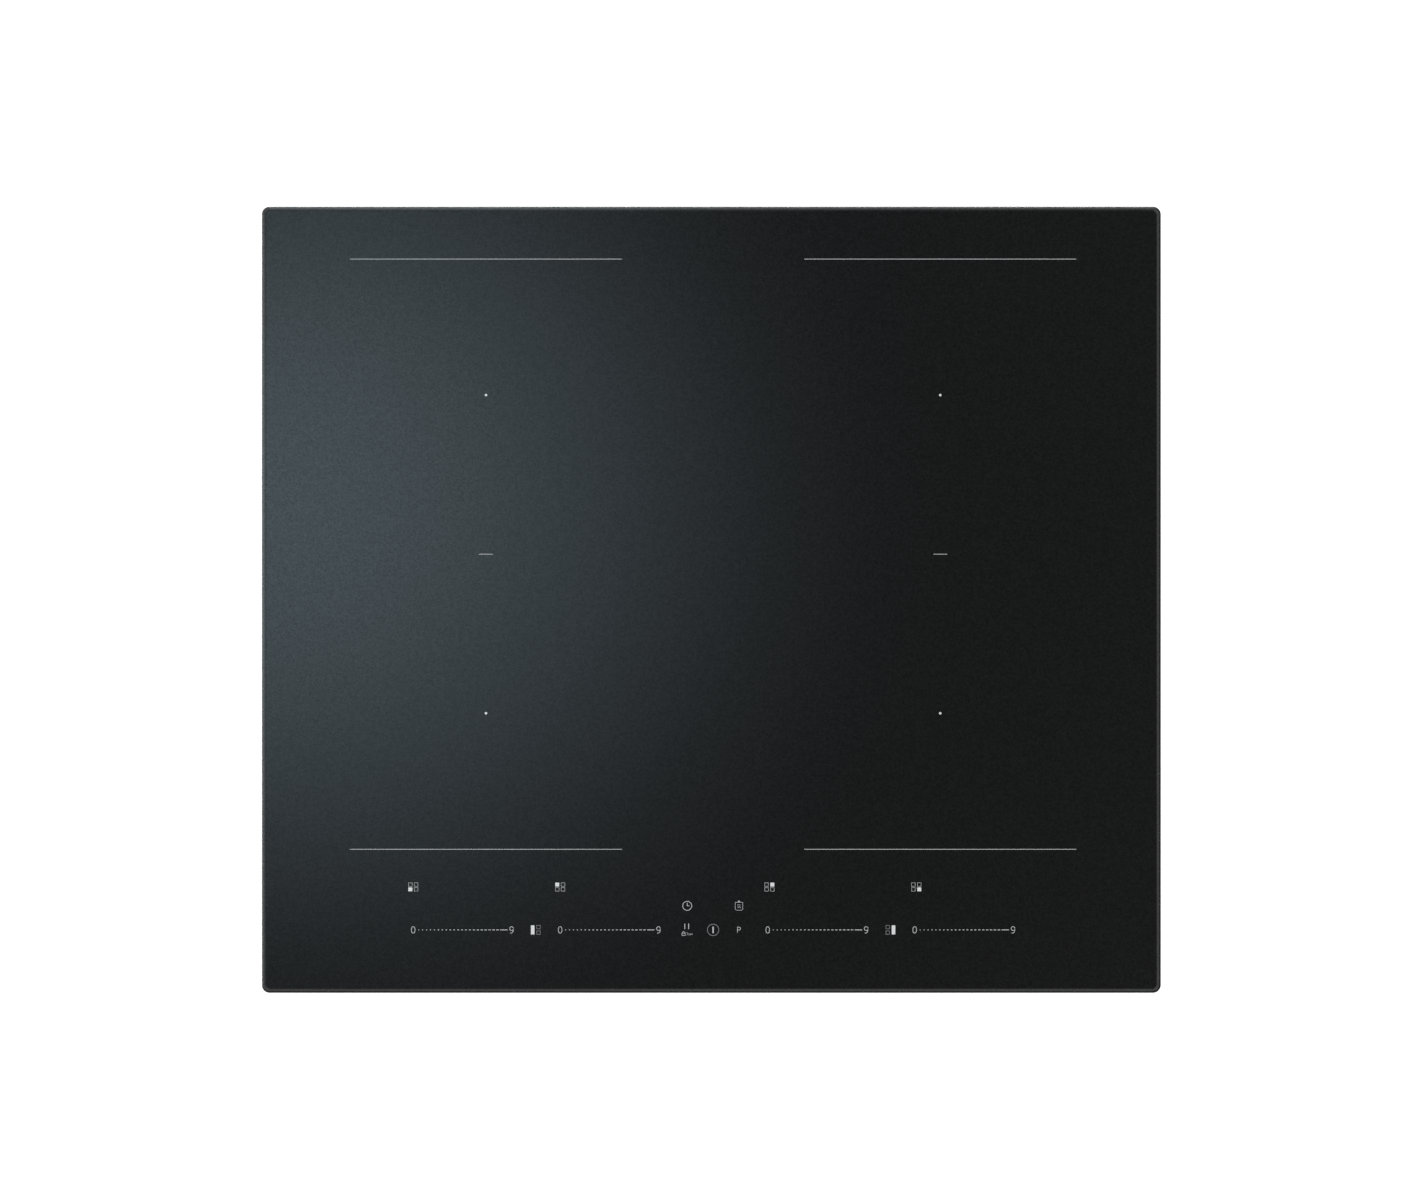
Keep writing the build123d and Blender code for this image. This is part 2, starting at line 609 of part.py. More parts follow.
stator_radius = ROTOR_HUB_RADIUS - ROTOR_WALL - STATOR_GAP
shoe = stator_radius / 9
core = Circle(stator_radius) - Circle(stator_radius - shoe)
core -= [
    Rot(0, 0, (i + 0.5) * 360 / STATOR_POLES) * Pos(stator_radius, 0) * Rectangle(4 * shoe, 1.5 * shoe)
    for i in range(STATOR_POLES)
]
core += Circle(tube_radius + 2 * shoe)
pole_length = stator_radius - tube_radius
core += [
    Rot(0, 0, i * 360 / STATOR_POLES) * Pos(tube_radius + pole_length / 2, 0)
    * Rectangle(pole_length - shoe / 2, 2 * shoe)
    for i in range(STATOR_POLES)
]
core -= Circle(tube_radius + PRESS_PLAY)
stator_z = cover_z - ROTOR_GAP - STATOR_HEIGHT
stator = Pos(0, 0, stator_z) * extrude(core, STATOR_HEIGHT)
bobbin = Pos(tube_radius + pole_length / 2 + shoe / 2, 0, stator_z - shoe / 2) * brick(
    pole_length - 5 * shoe / 2, 3.4 * shoe, STATOR_HEIGHT + shoe, shoe / 2
)
stator += [Rot(0, 0, i * 360 / STATOR_POLES) * bobbin for i in range(STATOR_POLES)]

blade_in = ROTOR_RADIUS - BLADE_DEPTH
with BuildSketch() as blade_plan:
    with BuildLine():
        lead_in = PolarLocations(blade_in, 1, 0).locations[0].position
        lead_out = PolarLocations(ROTOR_RADIUS - 0.5, 1, BLADE_SWEEP).locations[0].position
        SagittaArc(lead_in, lead_out, BLADE_DEPTH / 6)
        offset(amount=BLADE_SHEET, side=Side.LEFT)
    make_face()
blade = Pos(0, 0, rotor_z) * extrude(blade_plan.sketch, rotor_top - rotor_z)
rotor = Part() + [Rot(0, 0, i * 360 / BLADES) * blade for i in range(BLADES)]
rotor += drum(ROTOR_RADIUS, rotor_top - ROTOR_WALL, ROTOR_WALL)
rotor += drum(ROTOR_RADIUS, rotor_z, ROTOR_WALL) - drum(ROTOR_RADIUS - BLADE_DEPTH / 2, rotor_z, ROTOR_WALL)
rotor += drum(ROTOR_HUB_RADIUS, rotor_z, rotor_top - rotor_z)
rotor -= drum(ROTOR_HUB_RADIUS - ROTOR_WALL, cup_top, rotor_top - cup_top)
rotor += drum(2.5 * SHAFT_RADIUS, cup_top, BOSS_HEIGHT)
rotor -= drum(SHAFT_RADIUS + PRESS_PLAY, rotor_z, boss_top - rotor_z)
shaft = drum(SHAFT_RADIUS, rotor_z, cover_z - SHAFT_THRUST - rotor_z)


def in_module(side, shape):
    """A piece of a power module at its coil pair; the right module is the left one mirrored."""
    return Pos(sides[side], 0) * (shape if side == "left" else mirror(shape, about=Plane.YZ))


fan_place = Pos(fan_x, fan_y, floor_z)
for side in sides:
    save(f"fan_housing_{side}", in_module(side, fan_place * housing))
    save(f"fan_cover_{side}", in_module(side, fan_place * cover))
    save(f"fan_stator_{side}", in_module(side, fan_place * stator))
    save(f"fan_impeller_{side}", in_module(side, fan_place * rotor))
    save(f"fan_shaft_{side}", in_module(side, fan_place * shaft))
save("fan_bearings", *[in_module(side, fan_place * bush) for side in sides])
print("fan axes", fan_x - coil_x, fan_y)

# Power modules: a carrier on the tray floor, the board in it and the parts on the board
carrier_back = outlet_y - CARRIER_GAP
board_edge = CARRIER_WALL + CARRIER_PLAY
board_back = carrier_back - board_edge
board_front = board_back - BOARD_LENGTH
board_middle = (board_back + board_front) / 2
board_width = MODULE_WIDTH - 2 * board_edge
carrier_size = (MODULE_WIDTH, BOARD_LENGTH + 2 * board_edge)
carrier_z = floor_z + CARRIER_FOOT
post_z = carrier_z + CARRIER_FLOOR
sink_left = SINK_EDGE - board_width / 2
sink_right = sink_left + SINK_WIDTH
post_right = board_width / 2 - POST_EDGE
post_spots = [(-post_right, board_front + POST_EDGE)]
post_spots += [(sink_right + TRANSISTOR_DEPTH + POST_EDGE, y) for y in (board_middle, board_back - POST_EDGE)]
post_spots += [(post_right, y) for y in (board_front + POST_EDGE, board_middle, board_back - POST_EDGE)]
posts = [Pos(*spot) for spot in post_spots]
carrier = Pos(0, board_middle) * (
    block(carrier_size, 4.0, carrier_z, CARRIER_FLOOR + CARRIER_POST + BOARD_SHEET + CARRIER_RIM)
    - block(grow(carrier_size, -CARRIER_WALL), 4.0 - CARRIER_WALL, post_z, 2 * board_rise)
)
carrier += [post * drum(POST_RADIUS, floor_z, board_rise) for post in posts]
carrier -= [post * drum(SCREW_RADIUS + SCREW_PLAY, floor_z, board_rise) for post in posts]
board = Pos(0, board_middle) * block((board_width, BOARD_LENGTH), 2.0, board_z, BOARD_SHEET)
board -= [post * drum(SCREW_HOLE_RADIUS, board_z, BOARD_SHEET) for post in posts]
header_y = board_front + HEADER_WIDTH
board += Pos(0, header_y, board_top) * brick(HEADER_LENGTH, HEADER_WIDTH, HEADER_HEIGHT)
chips = [(-20.0, 30.0, 14.0, 14.0, 1.6), (12.0, 42.0, 10.0, 7.0, 2.0), (-20.0, 62.0, 18.0, 15.0, 14.0)]
board += [Pos(x, board_front + y, board_top) * brick(*size) for x, y, *size in chips]

fin_step = (SINK_HEIGHT - SINK_FIN) / (SINK_FINS - 1)
sink_plan = Sketch() + Pos(sink_right - SINK_BASE / 2, SINK_HEIGHT / 2) * Rectangle(SINK_BASE, SINK_HEIGHT)
sink_plan += [
    Pos((sink_left + sink_right) / 2, SINK_FIN / 2 + i * fin_step) * Rectangle(SINK_WIDTH, SINK_FIN)
    for i in range(SINK_FINS)
]
sink_back = board_back - SINK_GAP
sink = Pos(0, sink_back, board_top) * extrude(Plane.XZ * sink_plan, SINK_LENGTH)
body = Pos(TRANSISTOR_DEPTH / 2, 0, TRANSISTOR_LEG) * brick(
    TRANSISTOR_DEPTH, TRANSISTOR_WIDTH, TRANSISTOR_HEIGHT
)
legs = [Pos(TRANSISTOR_DEPTH / 2, y) * brick(0.6, 1.2, TRANSISTOR_LEG) for y in (-5.4, 0, 5.4)]
transistor = body + legs
transistors = [
    Pos(sink_right, sink_back - SINK_LENGTH * (i + 0.5) / TRANSISTORS, board_top) * transistor
    for i in range(TRANSISTORS)
]
capacitor_x = board_width / 2 - CAPACITOR_EDGE - CAPACITOR_LENGTH / 2
capacitors = [
    Pos(capacitor_x, board_front + CAPACITOR_START + i * CAPACITOR_PITCH, board_top)
    * brick(CAPACITOR_LENGTH, CAPACITOR_WIDTH, CAPACITOR_HEIGHT, 1.5)
    for i in range(CAPACITORS)
]
for side in sides:
    save(f"board_carrier_{side}", in_module(side, carrier))
    save(f"power_board_{side}", in_module(side, board))
    save(f"heat_sink_{side}", in_module(side, sink))
save("power_transistors", *[in_module(side, item) for side in sides for item in transistors])
save("film_capacitors", *[in_module(side, item) for side in sides for item in capacitors])
terminal = Pos(0, 0, board_top) * extrude(RegularPolygon(TERMINAL_RADIUS, 6), TERMINAL_HEIGHT)
save("coil_terminals", *[place * Pos(*spot) * terminal for place in coils.values() for spot in lead_spots])

# Mains filter between the modules, the terminal block and the gland in the rear wall
filter_back = tub_back - FILTER_BACK_GAP
filter_front = board_back - FILTER_LAP
filter_size = (2 * (coil_x - MODULE_WIDTH / 2 - FILTER_GAP), filter_back - filter_front)
filter_spots = [
    Pos(x * (filter_size[0] / 2 - POST_EDGE), y)
    for x in (-1, 1)
    for y in (filter_front + FILTER_LAP + POST_EDGE, filter_back - POST_EDGE - BLOCK_WIDTH)
]
filter_board = Pos(0, (filter_back + filter_front) / 2) * block(filter_size, 2.0, board_z, BOARD_SHEET)
save("filter_board", filter_board - [
    spot * drum(SCREW_HOLE_RADIUS, board_z, BOARD_SHEET) for spot in filter_spots
])
standoff = drum(POST_RADIUS, floor_z, board_rise) - drum(SCREW_RADIUS + SCREW_PLAY, floor_z, board_rise)
save("filter_standoffs", *[spot * standoff for spot in filter_spots])
board_screw = Pos(0, 0, board_top) * screw(SCREW_LENGTH)
board_screws = [in_module(side, post * board_screw) for side in sides for post in posts]
save("board_screws", *board_screws, *[spot * board_screw for spot in filter_spots])

filter_row = filter_front + 2 * FILTER_CAPACITOR_WIDTH
filter_parts = [
    Pos(0, filter_row - (0.5 + 1.3 * i) * FILTER_CAPACITOR_WIDTH, board_top)
    * brick(FILTER_CAPACITOR_LENGTH, FILTER_CAPACITOR_WIDTH, FILTER_CAPACITOR_HEIGHT, 1.5)
    for i in range(2)
]
save("filter_capacitors", *filter_parts)
choke = Pos(0, 0, CHOKE_SECTION + 1) * Torus(CHOKE_RADIUS, CHOKE_SECTION)
choke += drum(CHOKE_RADIUS + CHOKE_SECTION / 2, 0, 2.5)
save("filter_choke", Pos(0, filter_row + CHOKE_RADIUS + CHOKE_SECTION + 3, board_top) * choke)
ways = [Pos((i - 2) * BLOCK_LENGTH / 5, 0) for i in range(5)]
terminals = brick(BLOCK_LENGTH, BLOCK_WIDTH, BLOCK_HEIGHT, 1.0)
terminals -= [way * drum(2.6, BLOCK_HEIGHT - 4, 4) for way in ways]
terminals -= [
    way * Pos(0, BLOCK_WIDTH / 2, BLOCK_HEIGHT / 3) * Rot(90, 0, 0) * Cylinder(3, BLOCK_WIDTH) for way in ways
]
save("terminal_block", Pos(0, filter_back - BLOCK_WIDTH / 2, board_top) * terminals)

wire_back = board_back - POST_EDGE - SCREW_HEAD_RADIUS - SUPPLY_DIAMETER
wire_rows = [wire_back, wire_back - 2 * SUPPLY_DIAMETER]
wire_start = filter_size[0] / 2 - SUPPLY_REACH
wire_end = coil_x - board_width / 2 + SUPPLY_REACH
supply = []
for y in wire_rows:
    start = Vector(wire_start, y, board_top)
    knee = start - down * SUPPLY_RISE
    rise, over = bend(knee, -down, right, SUPPLY_DIAMETER * 2)
    fall, landing = bend(Vector(wire_end - SUPPLY_DIAMETER * 2, y, over.Z), right, down, SUPPLY_DIAMETER * 2)
    path = [Line(start, knee), rise, Line(over, fall @ 0), fall]
    path.append(Line(landing, (landing.X, y, board_top)))
    wire = tube(path, Circle(SUPPLY_DIAMETER / 2))
    supply += [wire, mirror(wire, about=Plane.YZ)]
save("supply_wires", *supply)

bore, neck, flange = GLAND_BORE_RADIUS, GLAND_NECK_RADIUS, GLAND_NECK_RADIUS + GLAND_FLANGE
neck_end = -TRAY_SHEET - NUT_THICKNESS - 2
with BuildSketch(Plane.XZ) as gland_plan:
    with BuildLine():
        Polyline(
            (bore + GLAND_RELIEF, neck_end), (neck, neck_end), (neck, 0), (flange, 0),
            (flange, GLAND_FLANGE_THICKNESS), (neck + 1, GLAND_FLANGE_THICKNESS + 1),
            (neck, GLAND_LENGTH - 3), (bore + GLAND_WALL, GLAND_LENGTH), (bore, GLAND_LENGTH),
            (bore, GLAND_FLANGE_THICKNESS), (bore + GLAND_RELIEF, GLAND_FLANGE_THICKNESS), close=True,
        )
    make_face()
on_wall = Pos(0, tub_back + TRAY_SHEET, gland_z) * Rot(-90, 0, 0)
save("cable_gland", on_wall * revolve(gland_plan.sketch, Axis.Z))
nut = extrude(RegularPolygon(NUT_WIDTH / 2, 6, major_radius=False), NUT_THICKNESS)
nut -= drum(neck + GLAND_PLAY, 0, NUT_THICKNESS)
save("gland_nut", on_wall * Pos(0, 0, -TRAY_SHEET - NUT_THICKNESS) * nut)
print("gland", tub_back + TRAY_SHEET + GLAND_LENGTH, gland_z)

# Controls on the front of the coil plate
touch_top = glass_z - TOUCH_PAD_HEIGHT
touch_z = touch_top - BOARD_SHEET
touch_size = (TOUCH_LENGTH, touch_depth)
touch_place = Pos(0, touch_y)
header_face = touch_back - TOUCH_WALL - 1.5
touch_board = touch_place * block(touch_size, 2.0, touch_z, BOARD_SHEET)
touch_header = brick(HEADER_LENGTH, HEADER_WIDTH, TOUCH_HEADER_HEIGHT)
touch_board += [
    Pos(x, header_face - HEADER_WIDTH / 2, touch_z - TOUCH_HEADER_HEIGHT) * touch_header
    for x in sides.values()
]
save("touch_board", touch_board)
holder = block(touch_size, 2.0, plate_top, touch_z - plate_top)
holder -= block(grow(touch_size, -TOUCH_WALL), 1.0, plate_top, touch_z - plate_top)
holder += [
    Pos(x, 0, plate_top) * brick(TOUCH_WALL, touch_depth, touch_z - plate_top)
    for x in (-coil_x / 2, 0, coil_x / 2)
]
notch = brick(RIBBON_WIDTH + 4, 4 * TOUCH_WALL, touch_z - plate_top)
holder -= [Pos(x, touch_depth / 2, plate_top + TOUCH_WALL / 2) * notch for x in sides.values()]
save("touch_holder", touch_place * holder)

slider_y = touch_y - touch_depth / 2 + SLIDER_ROW
pad_spots = [
    (centre + SLIDER_LENGTH * (i / (SLIDER_PADS - 1) - 0.5), slider_y)
    for centre in (-SLIDER_OUTER, -SLIDER_INNER, SLIDER_INNER, SLIDER_OUTER)
    for i in range(SLIDER_PADS)
]
pad_spots += [(x, slider_y) for x in (-KEY_PITCH, 0, KEY_PITCH)]
pad_spots += [(x, slider_y + KEY_PITCH) for x in (-KEY_PITCH, KEY_PITCH)]
save("touch_pads", *[Pos(*spot) * drum(TOUCH_PAD_RADIUS, touch_top, TOUCH_PAD_HEIGHT) for spot in pad_spots])
display_y = touch_back - DISPLAY_ROW
display_x = (-SLIDER_OUTER, -SLIDER_INNER, 0, SLIDER_INNER, SLIDER_OUTER)
display = brick(DISPLAY_LENGTH, DISPLAY_WIDTH, DISPLAY_HEIGHT)
save("display_modules", *[Pos(x, display_y, touch_top) * display for x in display_x])

ribbon_top = touch_z - TOUCH_HEADER_HEIGHT / 2
ribbon_low = board_top + HEADER_HEIGHT + RIBBON_RISE
ribbon = strip(
    [
        (header_face, ribbon_top),
        (ribbon_y, ribbon_top),
        (ribbon_y, ribbon_low),
        (header_y, ribbon_low),
        (header_y, board_top + HEADER_HEIGHT),
    ],
    RIBBON_BEND, RIBBON_SHEET, RIBBON_WIDTH,
)
save("ribbon_cables", *[Pos(x, 0) * Rot(0, 0, 90) * ribbon for x in sides.values()])
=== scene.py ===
# %% [markdown]
# # A built-in induction cooktop
# The construction model holds every piece at its real size: a pane of black glass ceramic on a foam seal,
# a steel tray with four coils, two blowers and their boards. This lesson gives each piece its finish,
# prints the marks on the glass and sets up the camera and the light. No piece is moved or resized here,
# because the construction already says where everything goes.

# %% Load the construction
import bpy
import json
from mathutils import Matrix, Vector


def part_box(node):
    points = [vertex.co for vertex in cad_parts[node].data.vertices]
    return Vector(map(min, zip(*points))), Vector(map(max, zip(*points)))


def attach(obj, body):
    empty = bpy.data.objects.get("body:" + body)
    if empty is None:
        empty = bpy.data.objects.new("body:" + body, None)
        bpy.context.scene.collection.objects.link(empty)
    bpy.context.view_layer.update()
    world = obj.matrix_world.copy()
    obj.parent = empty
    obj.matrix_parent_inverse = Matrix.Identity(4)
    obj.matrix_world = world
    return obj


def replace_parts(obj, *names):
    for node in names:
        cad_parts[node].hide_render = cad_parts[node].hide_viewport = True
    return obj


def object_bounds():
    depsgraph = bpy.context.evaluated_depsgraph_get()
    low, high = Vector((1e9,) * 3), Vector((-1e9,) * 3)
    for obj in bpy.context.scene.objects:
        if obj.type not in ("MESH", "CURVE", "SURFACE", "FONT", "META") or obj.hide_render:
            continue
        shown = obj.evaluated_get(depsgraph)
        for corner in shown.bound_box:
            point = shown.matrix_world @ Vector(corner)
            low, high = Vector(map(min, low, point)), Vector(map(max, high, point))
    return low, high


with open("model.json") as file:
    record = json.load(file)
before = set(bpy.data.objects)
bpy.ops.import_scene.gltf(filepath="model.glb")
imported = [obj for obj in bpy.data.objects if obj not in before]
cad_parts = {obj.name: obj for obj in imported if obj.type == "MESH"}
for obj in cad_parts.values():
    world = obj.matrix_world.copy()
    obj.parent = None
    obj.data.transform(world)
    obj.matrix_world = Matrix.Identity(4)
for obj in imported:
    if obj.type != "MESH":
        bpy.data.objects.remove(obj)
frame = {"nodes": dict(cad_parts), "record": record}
cad_box = [list(corner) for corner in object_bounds()]

import json
import math

import bmesh
import bpy
from mathutils import Vector

MM = 0.001
print("nodes", len(frame["nodes"]))
print("box in mm", [[round(v / MM, 1) for v in corner] for corner in cad_box])

# %% [markdown]
# ## The camera
# The photograph looks straight down on the glass from far away, so that no side wall shows. A long lens
# gives that view, and an orthographic camera would too, but the long lens also serves for other views.
# The glass outline was read from the picture in pixels. Its width sets the distance of the camera, and
# its centre sets how far the camera stands to the side, so the lens needs no shift. Colours go to the
# picture as they are, because a film curve would grey the white ground.

# %% Place the camera
PHOTO_WIDTH, PHOTO_HEIGHT = 1412, 1200
GLASS_LEFT, GLASS_RIGHT = 261.65, 1160.9
GLASS_BACK, GLASS_FRONT = 206.3, 993.1
LENS = 200.0
SENSOR = 36.0

scene = bpy.context.scene
glass_low, glass_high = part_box("glass_top")
pixel = (glass_high.x - glass_low.x) / (GLASS_RIGHT - GLASS_LEFT)
camera = bpy.data.objects.new("overhead_camera", bpy.data.cameras.new("overhead_camera"))
camera.data.lens = LENS
camera.data.sensor_width = SENSOR
camera.location = (
    (PHOTO_WIDTH - GLASS_LEFT - GLASS_RIGHT) / 2 * pixel,
    (GLASS_BACK + GLASS_FRONT - PHOTO_HEIGHT) / 2 * pixel,
    glass_high.z + pixel * PHOTO_WIDTH * LENS / SENSOR,
)
scene.collection.objects.link(camera)
scene.camera = camera
scene.view_settings.view_transform = "Standard"
print("camera", round(camera.location.z, 3), "m up, one pixel is", round(pixel / MM, 4), "mm")

# %% [markdown]
# ## Building finishes from nodes
# A finish is a small net of nodes: a texture that says where the surface differs, and the colour, gloss
# or relief that it drives. Image textures would need files, so every pattern here is worked out from the
# place on the object, in metres, and keeps its real scale on every piece. These helpers add one node each
# and wire it, which keeps the finishes below short.


# %% Helpers for finishes
def add(owner, kind, wired, **settings):
    """One node; each socket takes a plain value or another node's output."""
    made = owner.node_tree.nodes.new(kind)
    for name, value in settings.items():
        setattr(made, name, value)
    for name, value in wired.items():
        if isinstance(value, bpy.types.NodeSocket):
            owner.node_tree.links.new(value, made.inputs[name])
        else:
            made.inputs[name].default_value = value
    return made


def finish(name, **fixed):
    """A new material whose fixed values sit on its shader's own sockets."""
    material = bpy.data.materials.new(name)
    material.use_nodes = True
    shader = material.node_tree.nodes["Principled BSDF"]
    for word, value in fixed.items():
        shader.inputs[SOCKETS[word]].default_value = value
    return material


SOCKETS = {
    "metal": "Metallic",
    "ior": "IOR",
    "shine": "Specular IOR Level",
    "coat": "Coat Weight",
    "coat_rough": "Coat Roughness",
}


def drive(material, socket, output):
    """Wire an output to one socket of the material's shader."""
    shader = material.node_tree.nodes["Principled BSDF"]
    material.node_tree.links.new(output, shader.inputs[socket])


# %% Helpers for patterns
WAVE_RATE = 20.0


def place(material, stretch=(1, 1, 1)):
    """Where a point lies on the object, in metres, with each axis stretched."""
    spot = add(material, "ShaderNodeTexCoord", {}).outputs["Object"]
    return add(material, "ShaderNodeMapping", {"Vector": spot, "Scale": stretch}).outputs["Vector"]


def grain(material, size, stretch=(1, 1, 1), detail=2.0):
    """Soft random patches about size metres wide."""
    wired = {"Vector": place(material, stretch), "Scale": 1 / size, "Detail": detail}
    return add(material, "ShaderNodeTexNoise", wired).outputs["Fac"]


def crystals(material, size, stretch=(1, 1, 1)):
    """Flat cells about size metres wide, each with a grey of its own."""
    wired = {"Vector": place(material, stretch), "Scale": 1 / size}
    cell = add(material, "ShaderNodeTexVoronoi", wired).outputs["Color"]
    return add(material, "ShaderNodeSeparateColor", {"Color": cell}).outputs["Red"]


def pores(material, size):
    """Distance to the nearest of many scattered points, as in a foam."""
    wired = {"Vector": place(material), "Scale": 1 / size}
    return add(material, "ShaderNodeTexVoronoi", wired).outputs["Distance"]


def bands(material, size, axis):
    """Stripes across one axis, size metres apart; a wave texture turns WAVE_RATE radians per unit."""
    wired = {"Vector": place(material), "Scale": 2 * math.pi / (WAVE_RATE * size)}
    return add(material, "ShaderNodeTexWave", wired, bands_direction=axis).outputs["Fac"]


# %% Helpers for colour, gloss and relief
def tint(material, pattern, dark, light, low=0.35, high=0.65):
    """Colour that runs from dark to light with the pattern."""
    ramp = add(material, "ShaderNodeValToRGB", {"Fac": pattern})
    for stop, where, colour in zip(ramp.color_ramp.elements, (low, high), (dark, light)):
        stop.position = where
        stop.color = (*colour, 1)
    drive(material, "Base Color", ramp.outputs["Color"])


def span(material, pattern, least, most, low=0.3, high=0.7):
    """A value that runs from least to most while the pattern runs from low to high."""
    wired = {"Value": pattern, "From Min": low, "From Max": high, "To Min": least, "To Max": most}
    return add(material, "ShaderNodeMapRange", wired).outputs["Result"]


def gloss(material, pattern, least, most):
    """Roughness that runs from least to most with the pattern."""
    drive(material, "Roughness", span(material, pattern, least, most))


def relief(material, pattern, depth):
    """Bumps of that depth in metres."""
    wired = {"Height": pattern, "Distance": depth, "Strength": 1.0}
    drive(material, "Normal", add(material, "ShaderNodeBump", wired).outputs["Normal"])


# %% [markdown]
# ## Black glass ceramic
# The pane is black all through and its top is etched to a satin, so a lamp above it spreads into a wide
# soft glow and a close look shows a fine even grain. Plain gloss would mirror the lamps, and a diffuse
# black would lose the glow. A low roughness with a grain of about a millimetre gives both. The edge is
# ground round, and its side stays duller than the top. The print is fired enamel, so it is matt and a
# little uneven.


# %% Finishes of the glass and its print
GLASS_IOR = 1.53
TOP_SHINE = (0.45, 0.55)
SIDE_SHARE = 0.12
SIDE_SLOPE, TOP_SLOPE = 0.15, 0.55


def satin_glass():
    """Black glass whose shine falls to a small share where the edge faces sideways."""
    material = finish("satin_black_glass", ior=GLASS_IOR)
    fine = grain(material, 1.7 * MM)
    tint(material, fine, (0.0004, 0.0005, 0.0005), (0.0024, 0.0026, 0.0026))
    facing = add(material, "ShaderNodeTexCoord", {}).outputs["Normal"]
    upward = add(material, "ShaderNodeSeparateXYZ", {"Vector": facing}).outputs["Z"]
    share = span(material, upward, SIDE_SHARE, 1.0, SIDE_SLOPE, TOP_SLOPE)
    factors = {0: span(material, fine, *TOP_SHINE), 1: share}
    shine = add(material, "ShaderNodeMath", factors, operation="MULTIPLY").outputs["Value"]
    drive(material, SOCKETS["shine"], shine)
    gloss(material, grain(material, 1.4 * MM), 0.262, 0.282)
    relief(material, fine, 0.0015 * MM)
    return material


def enamel(name, dark, light):
    material = finish(name, shine=0.4)
    fine = grain(material, 0.3 * MM)
    tint(material, fine, dark, light)
    gloss(material, fine, 0.5, 0.65)
    relief(material, fine, 0.01 * MM)
    return material


glass_finish = satin_glass()
white_print = enamel("white_print", (0.70, 0.70, 0.69), (0.82, 0.82, 0.81))
line_print = enamel("line_print", (0.50, 0.50, 0.50), (0.58, 0.58, 0.58))
grey_print = enamel("grey_print", (0.20, 0.20, 0.20), (0.25, 0.25, 0.25))
for made in (glass_finish, white_print, line_print, grey_print):
    print("finish", made.name)

# %% [markdown]
# ## Seal and bead
# Under the rim runs a strip of closed foam that keeps water out of the cut-out, and a bead of silicone
# holds the glass on its frame. Soft noise could stand for both, but foam shows its cells, so it takes the
# distance to scattered points. Cured silicone is smooth, and there slow noise gives the ripples.


# %% Finishes of the soft strips
def foam(name, dark, light):
    material = finish(name, shine=0.2)
    cell = pores(material, 0.6 * MM)
    tint(material, cell, dark, light, 0.1, 0.7)
    gloss(material, cell, 0.95, 0.8)
    relief(material, cell, 0.15 * MM)
    return material


def silicone():
    material = finish("silicone", shine=0.4)
    ripple = grain(material, 4 * MM)
    tint(material, ripple, (0.010, 0.010, 0.011), (0.018, 0.018, 0.019))
    gloss(material, ripple, 0.3, 0.5)
    relief(material, ripple, 0.1 * MM)
    return material


# %% [markdown]
# ## Sheet metal
# The tray and the frame are pressed from zinc-coated sheet, whose crystals show as a faint spangle. The
# coil plate and the springs are rolled, so fine streaks run along them. All of them are bare metal, so the
# colour is that of the reflection. Noise alone would look like cast metal. Flat cells give each crystal a
# shade of its own, noise drawn out along one axis gives the streaks, and the gloss changes slowly.


# %% Finishes of the sheet metal
def zinc_sheet(name, size, dark, light):
    material = finish(name, metal=1.0)
    spangle = crystals(material, size)
    tint(material, spangle, dark, light, 0.0, 1.0)
    gloss(material, grain(material, 30 * MM, detail=4.0), 0.4, 0.52)
    relief(material, grain(material, 1.2 * MM, detail=3.0), 0.01 * MM)
    return material


ROLLED_STRETCH = 0.03


def rolled_sheet(name, along, dark, light, least, most):
    material = finish(name, metal=1.0)
    stretch = [1.0, 1.0, 1.0]
    stretch[along] = ROLLED_STRETCH
    streak = grain(material, 0.6 * MM, stretch, 3.0)
    tint(material, streak, dark, light)
    gloss(material, streak, least, most)
    relief(material, streak, 0.01 * MM)
    return material


def turned_metal(name, dark, light, least, most):
    material = finish(name, metal=1.0)
    fine = grain(material, 0.8 * MM, (1, 1, 4), 3.0)
    tint(material, fine, dark, light)
    gloss(material, fine, least, most)
    relief(material, fine, 0.01 * MM)
    return material


# %% [markdown]
# ## Coils
# Each coil is Litz wire, a bundle of fine enamelled strands, wound on a moulded former with ferrite bars
# below it and a mica sheet above. Copper under enamel is orange and satin, ferrite is a dark sintered
# grit, and pressed mica shows pale flakes in layers. Plain colours would make them all look like plastic,
# so each has a pattern at its own scale, and the enamel is a thin clear coat.


# %% Finishes of the coil pieces
def litz_copper():
    material = finish("litz_copper", metal=1.0, coat=0.3, coat_rough=0.25)
    strand = grain(material, 0.35 * MM, detail=3.0)
    tint(material, strand, (0.42, 0.15, 0.055), (0.78, 0.36, 0.16))
    gloss(material, strand, 0.25, 0.45)
    relief(material, strand, 0.08 * MM)
    return material


def sintered(name, size, dark, light, least, most):
    material = finish(name, shine=0.4)
    grit = crystals(material, size)
    tint(material, grit, dark, light, 0.0, 1.0)
    gloss(material, grit, least, most)
    relief(material, grain(material, 2 * size, detail=4.0), 0.03 * MM)
    return material


def mica_sheet():
    material = finish("mica_sheet", shine=0.6, coat=0.2)
    flake = crystals(material, 1.3 * MM, (1, 0.6, 1))
    tint(material, flake, (0.36, 0.31, 0.22), (0.52, 0.46, 0.35), 0.0, 1.0)
    gloss(material, flake, 0.3, 0.6)
    relief(material, flake, 0.02 * MM)
    return material


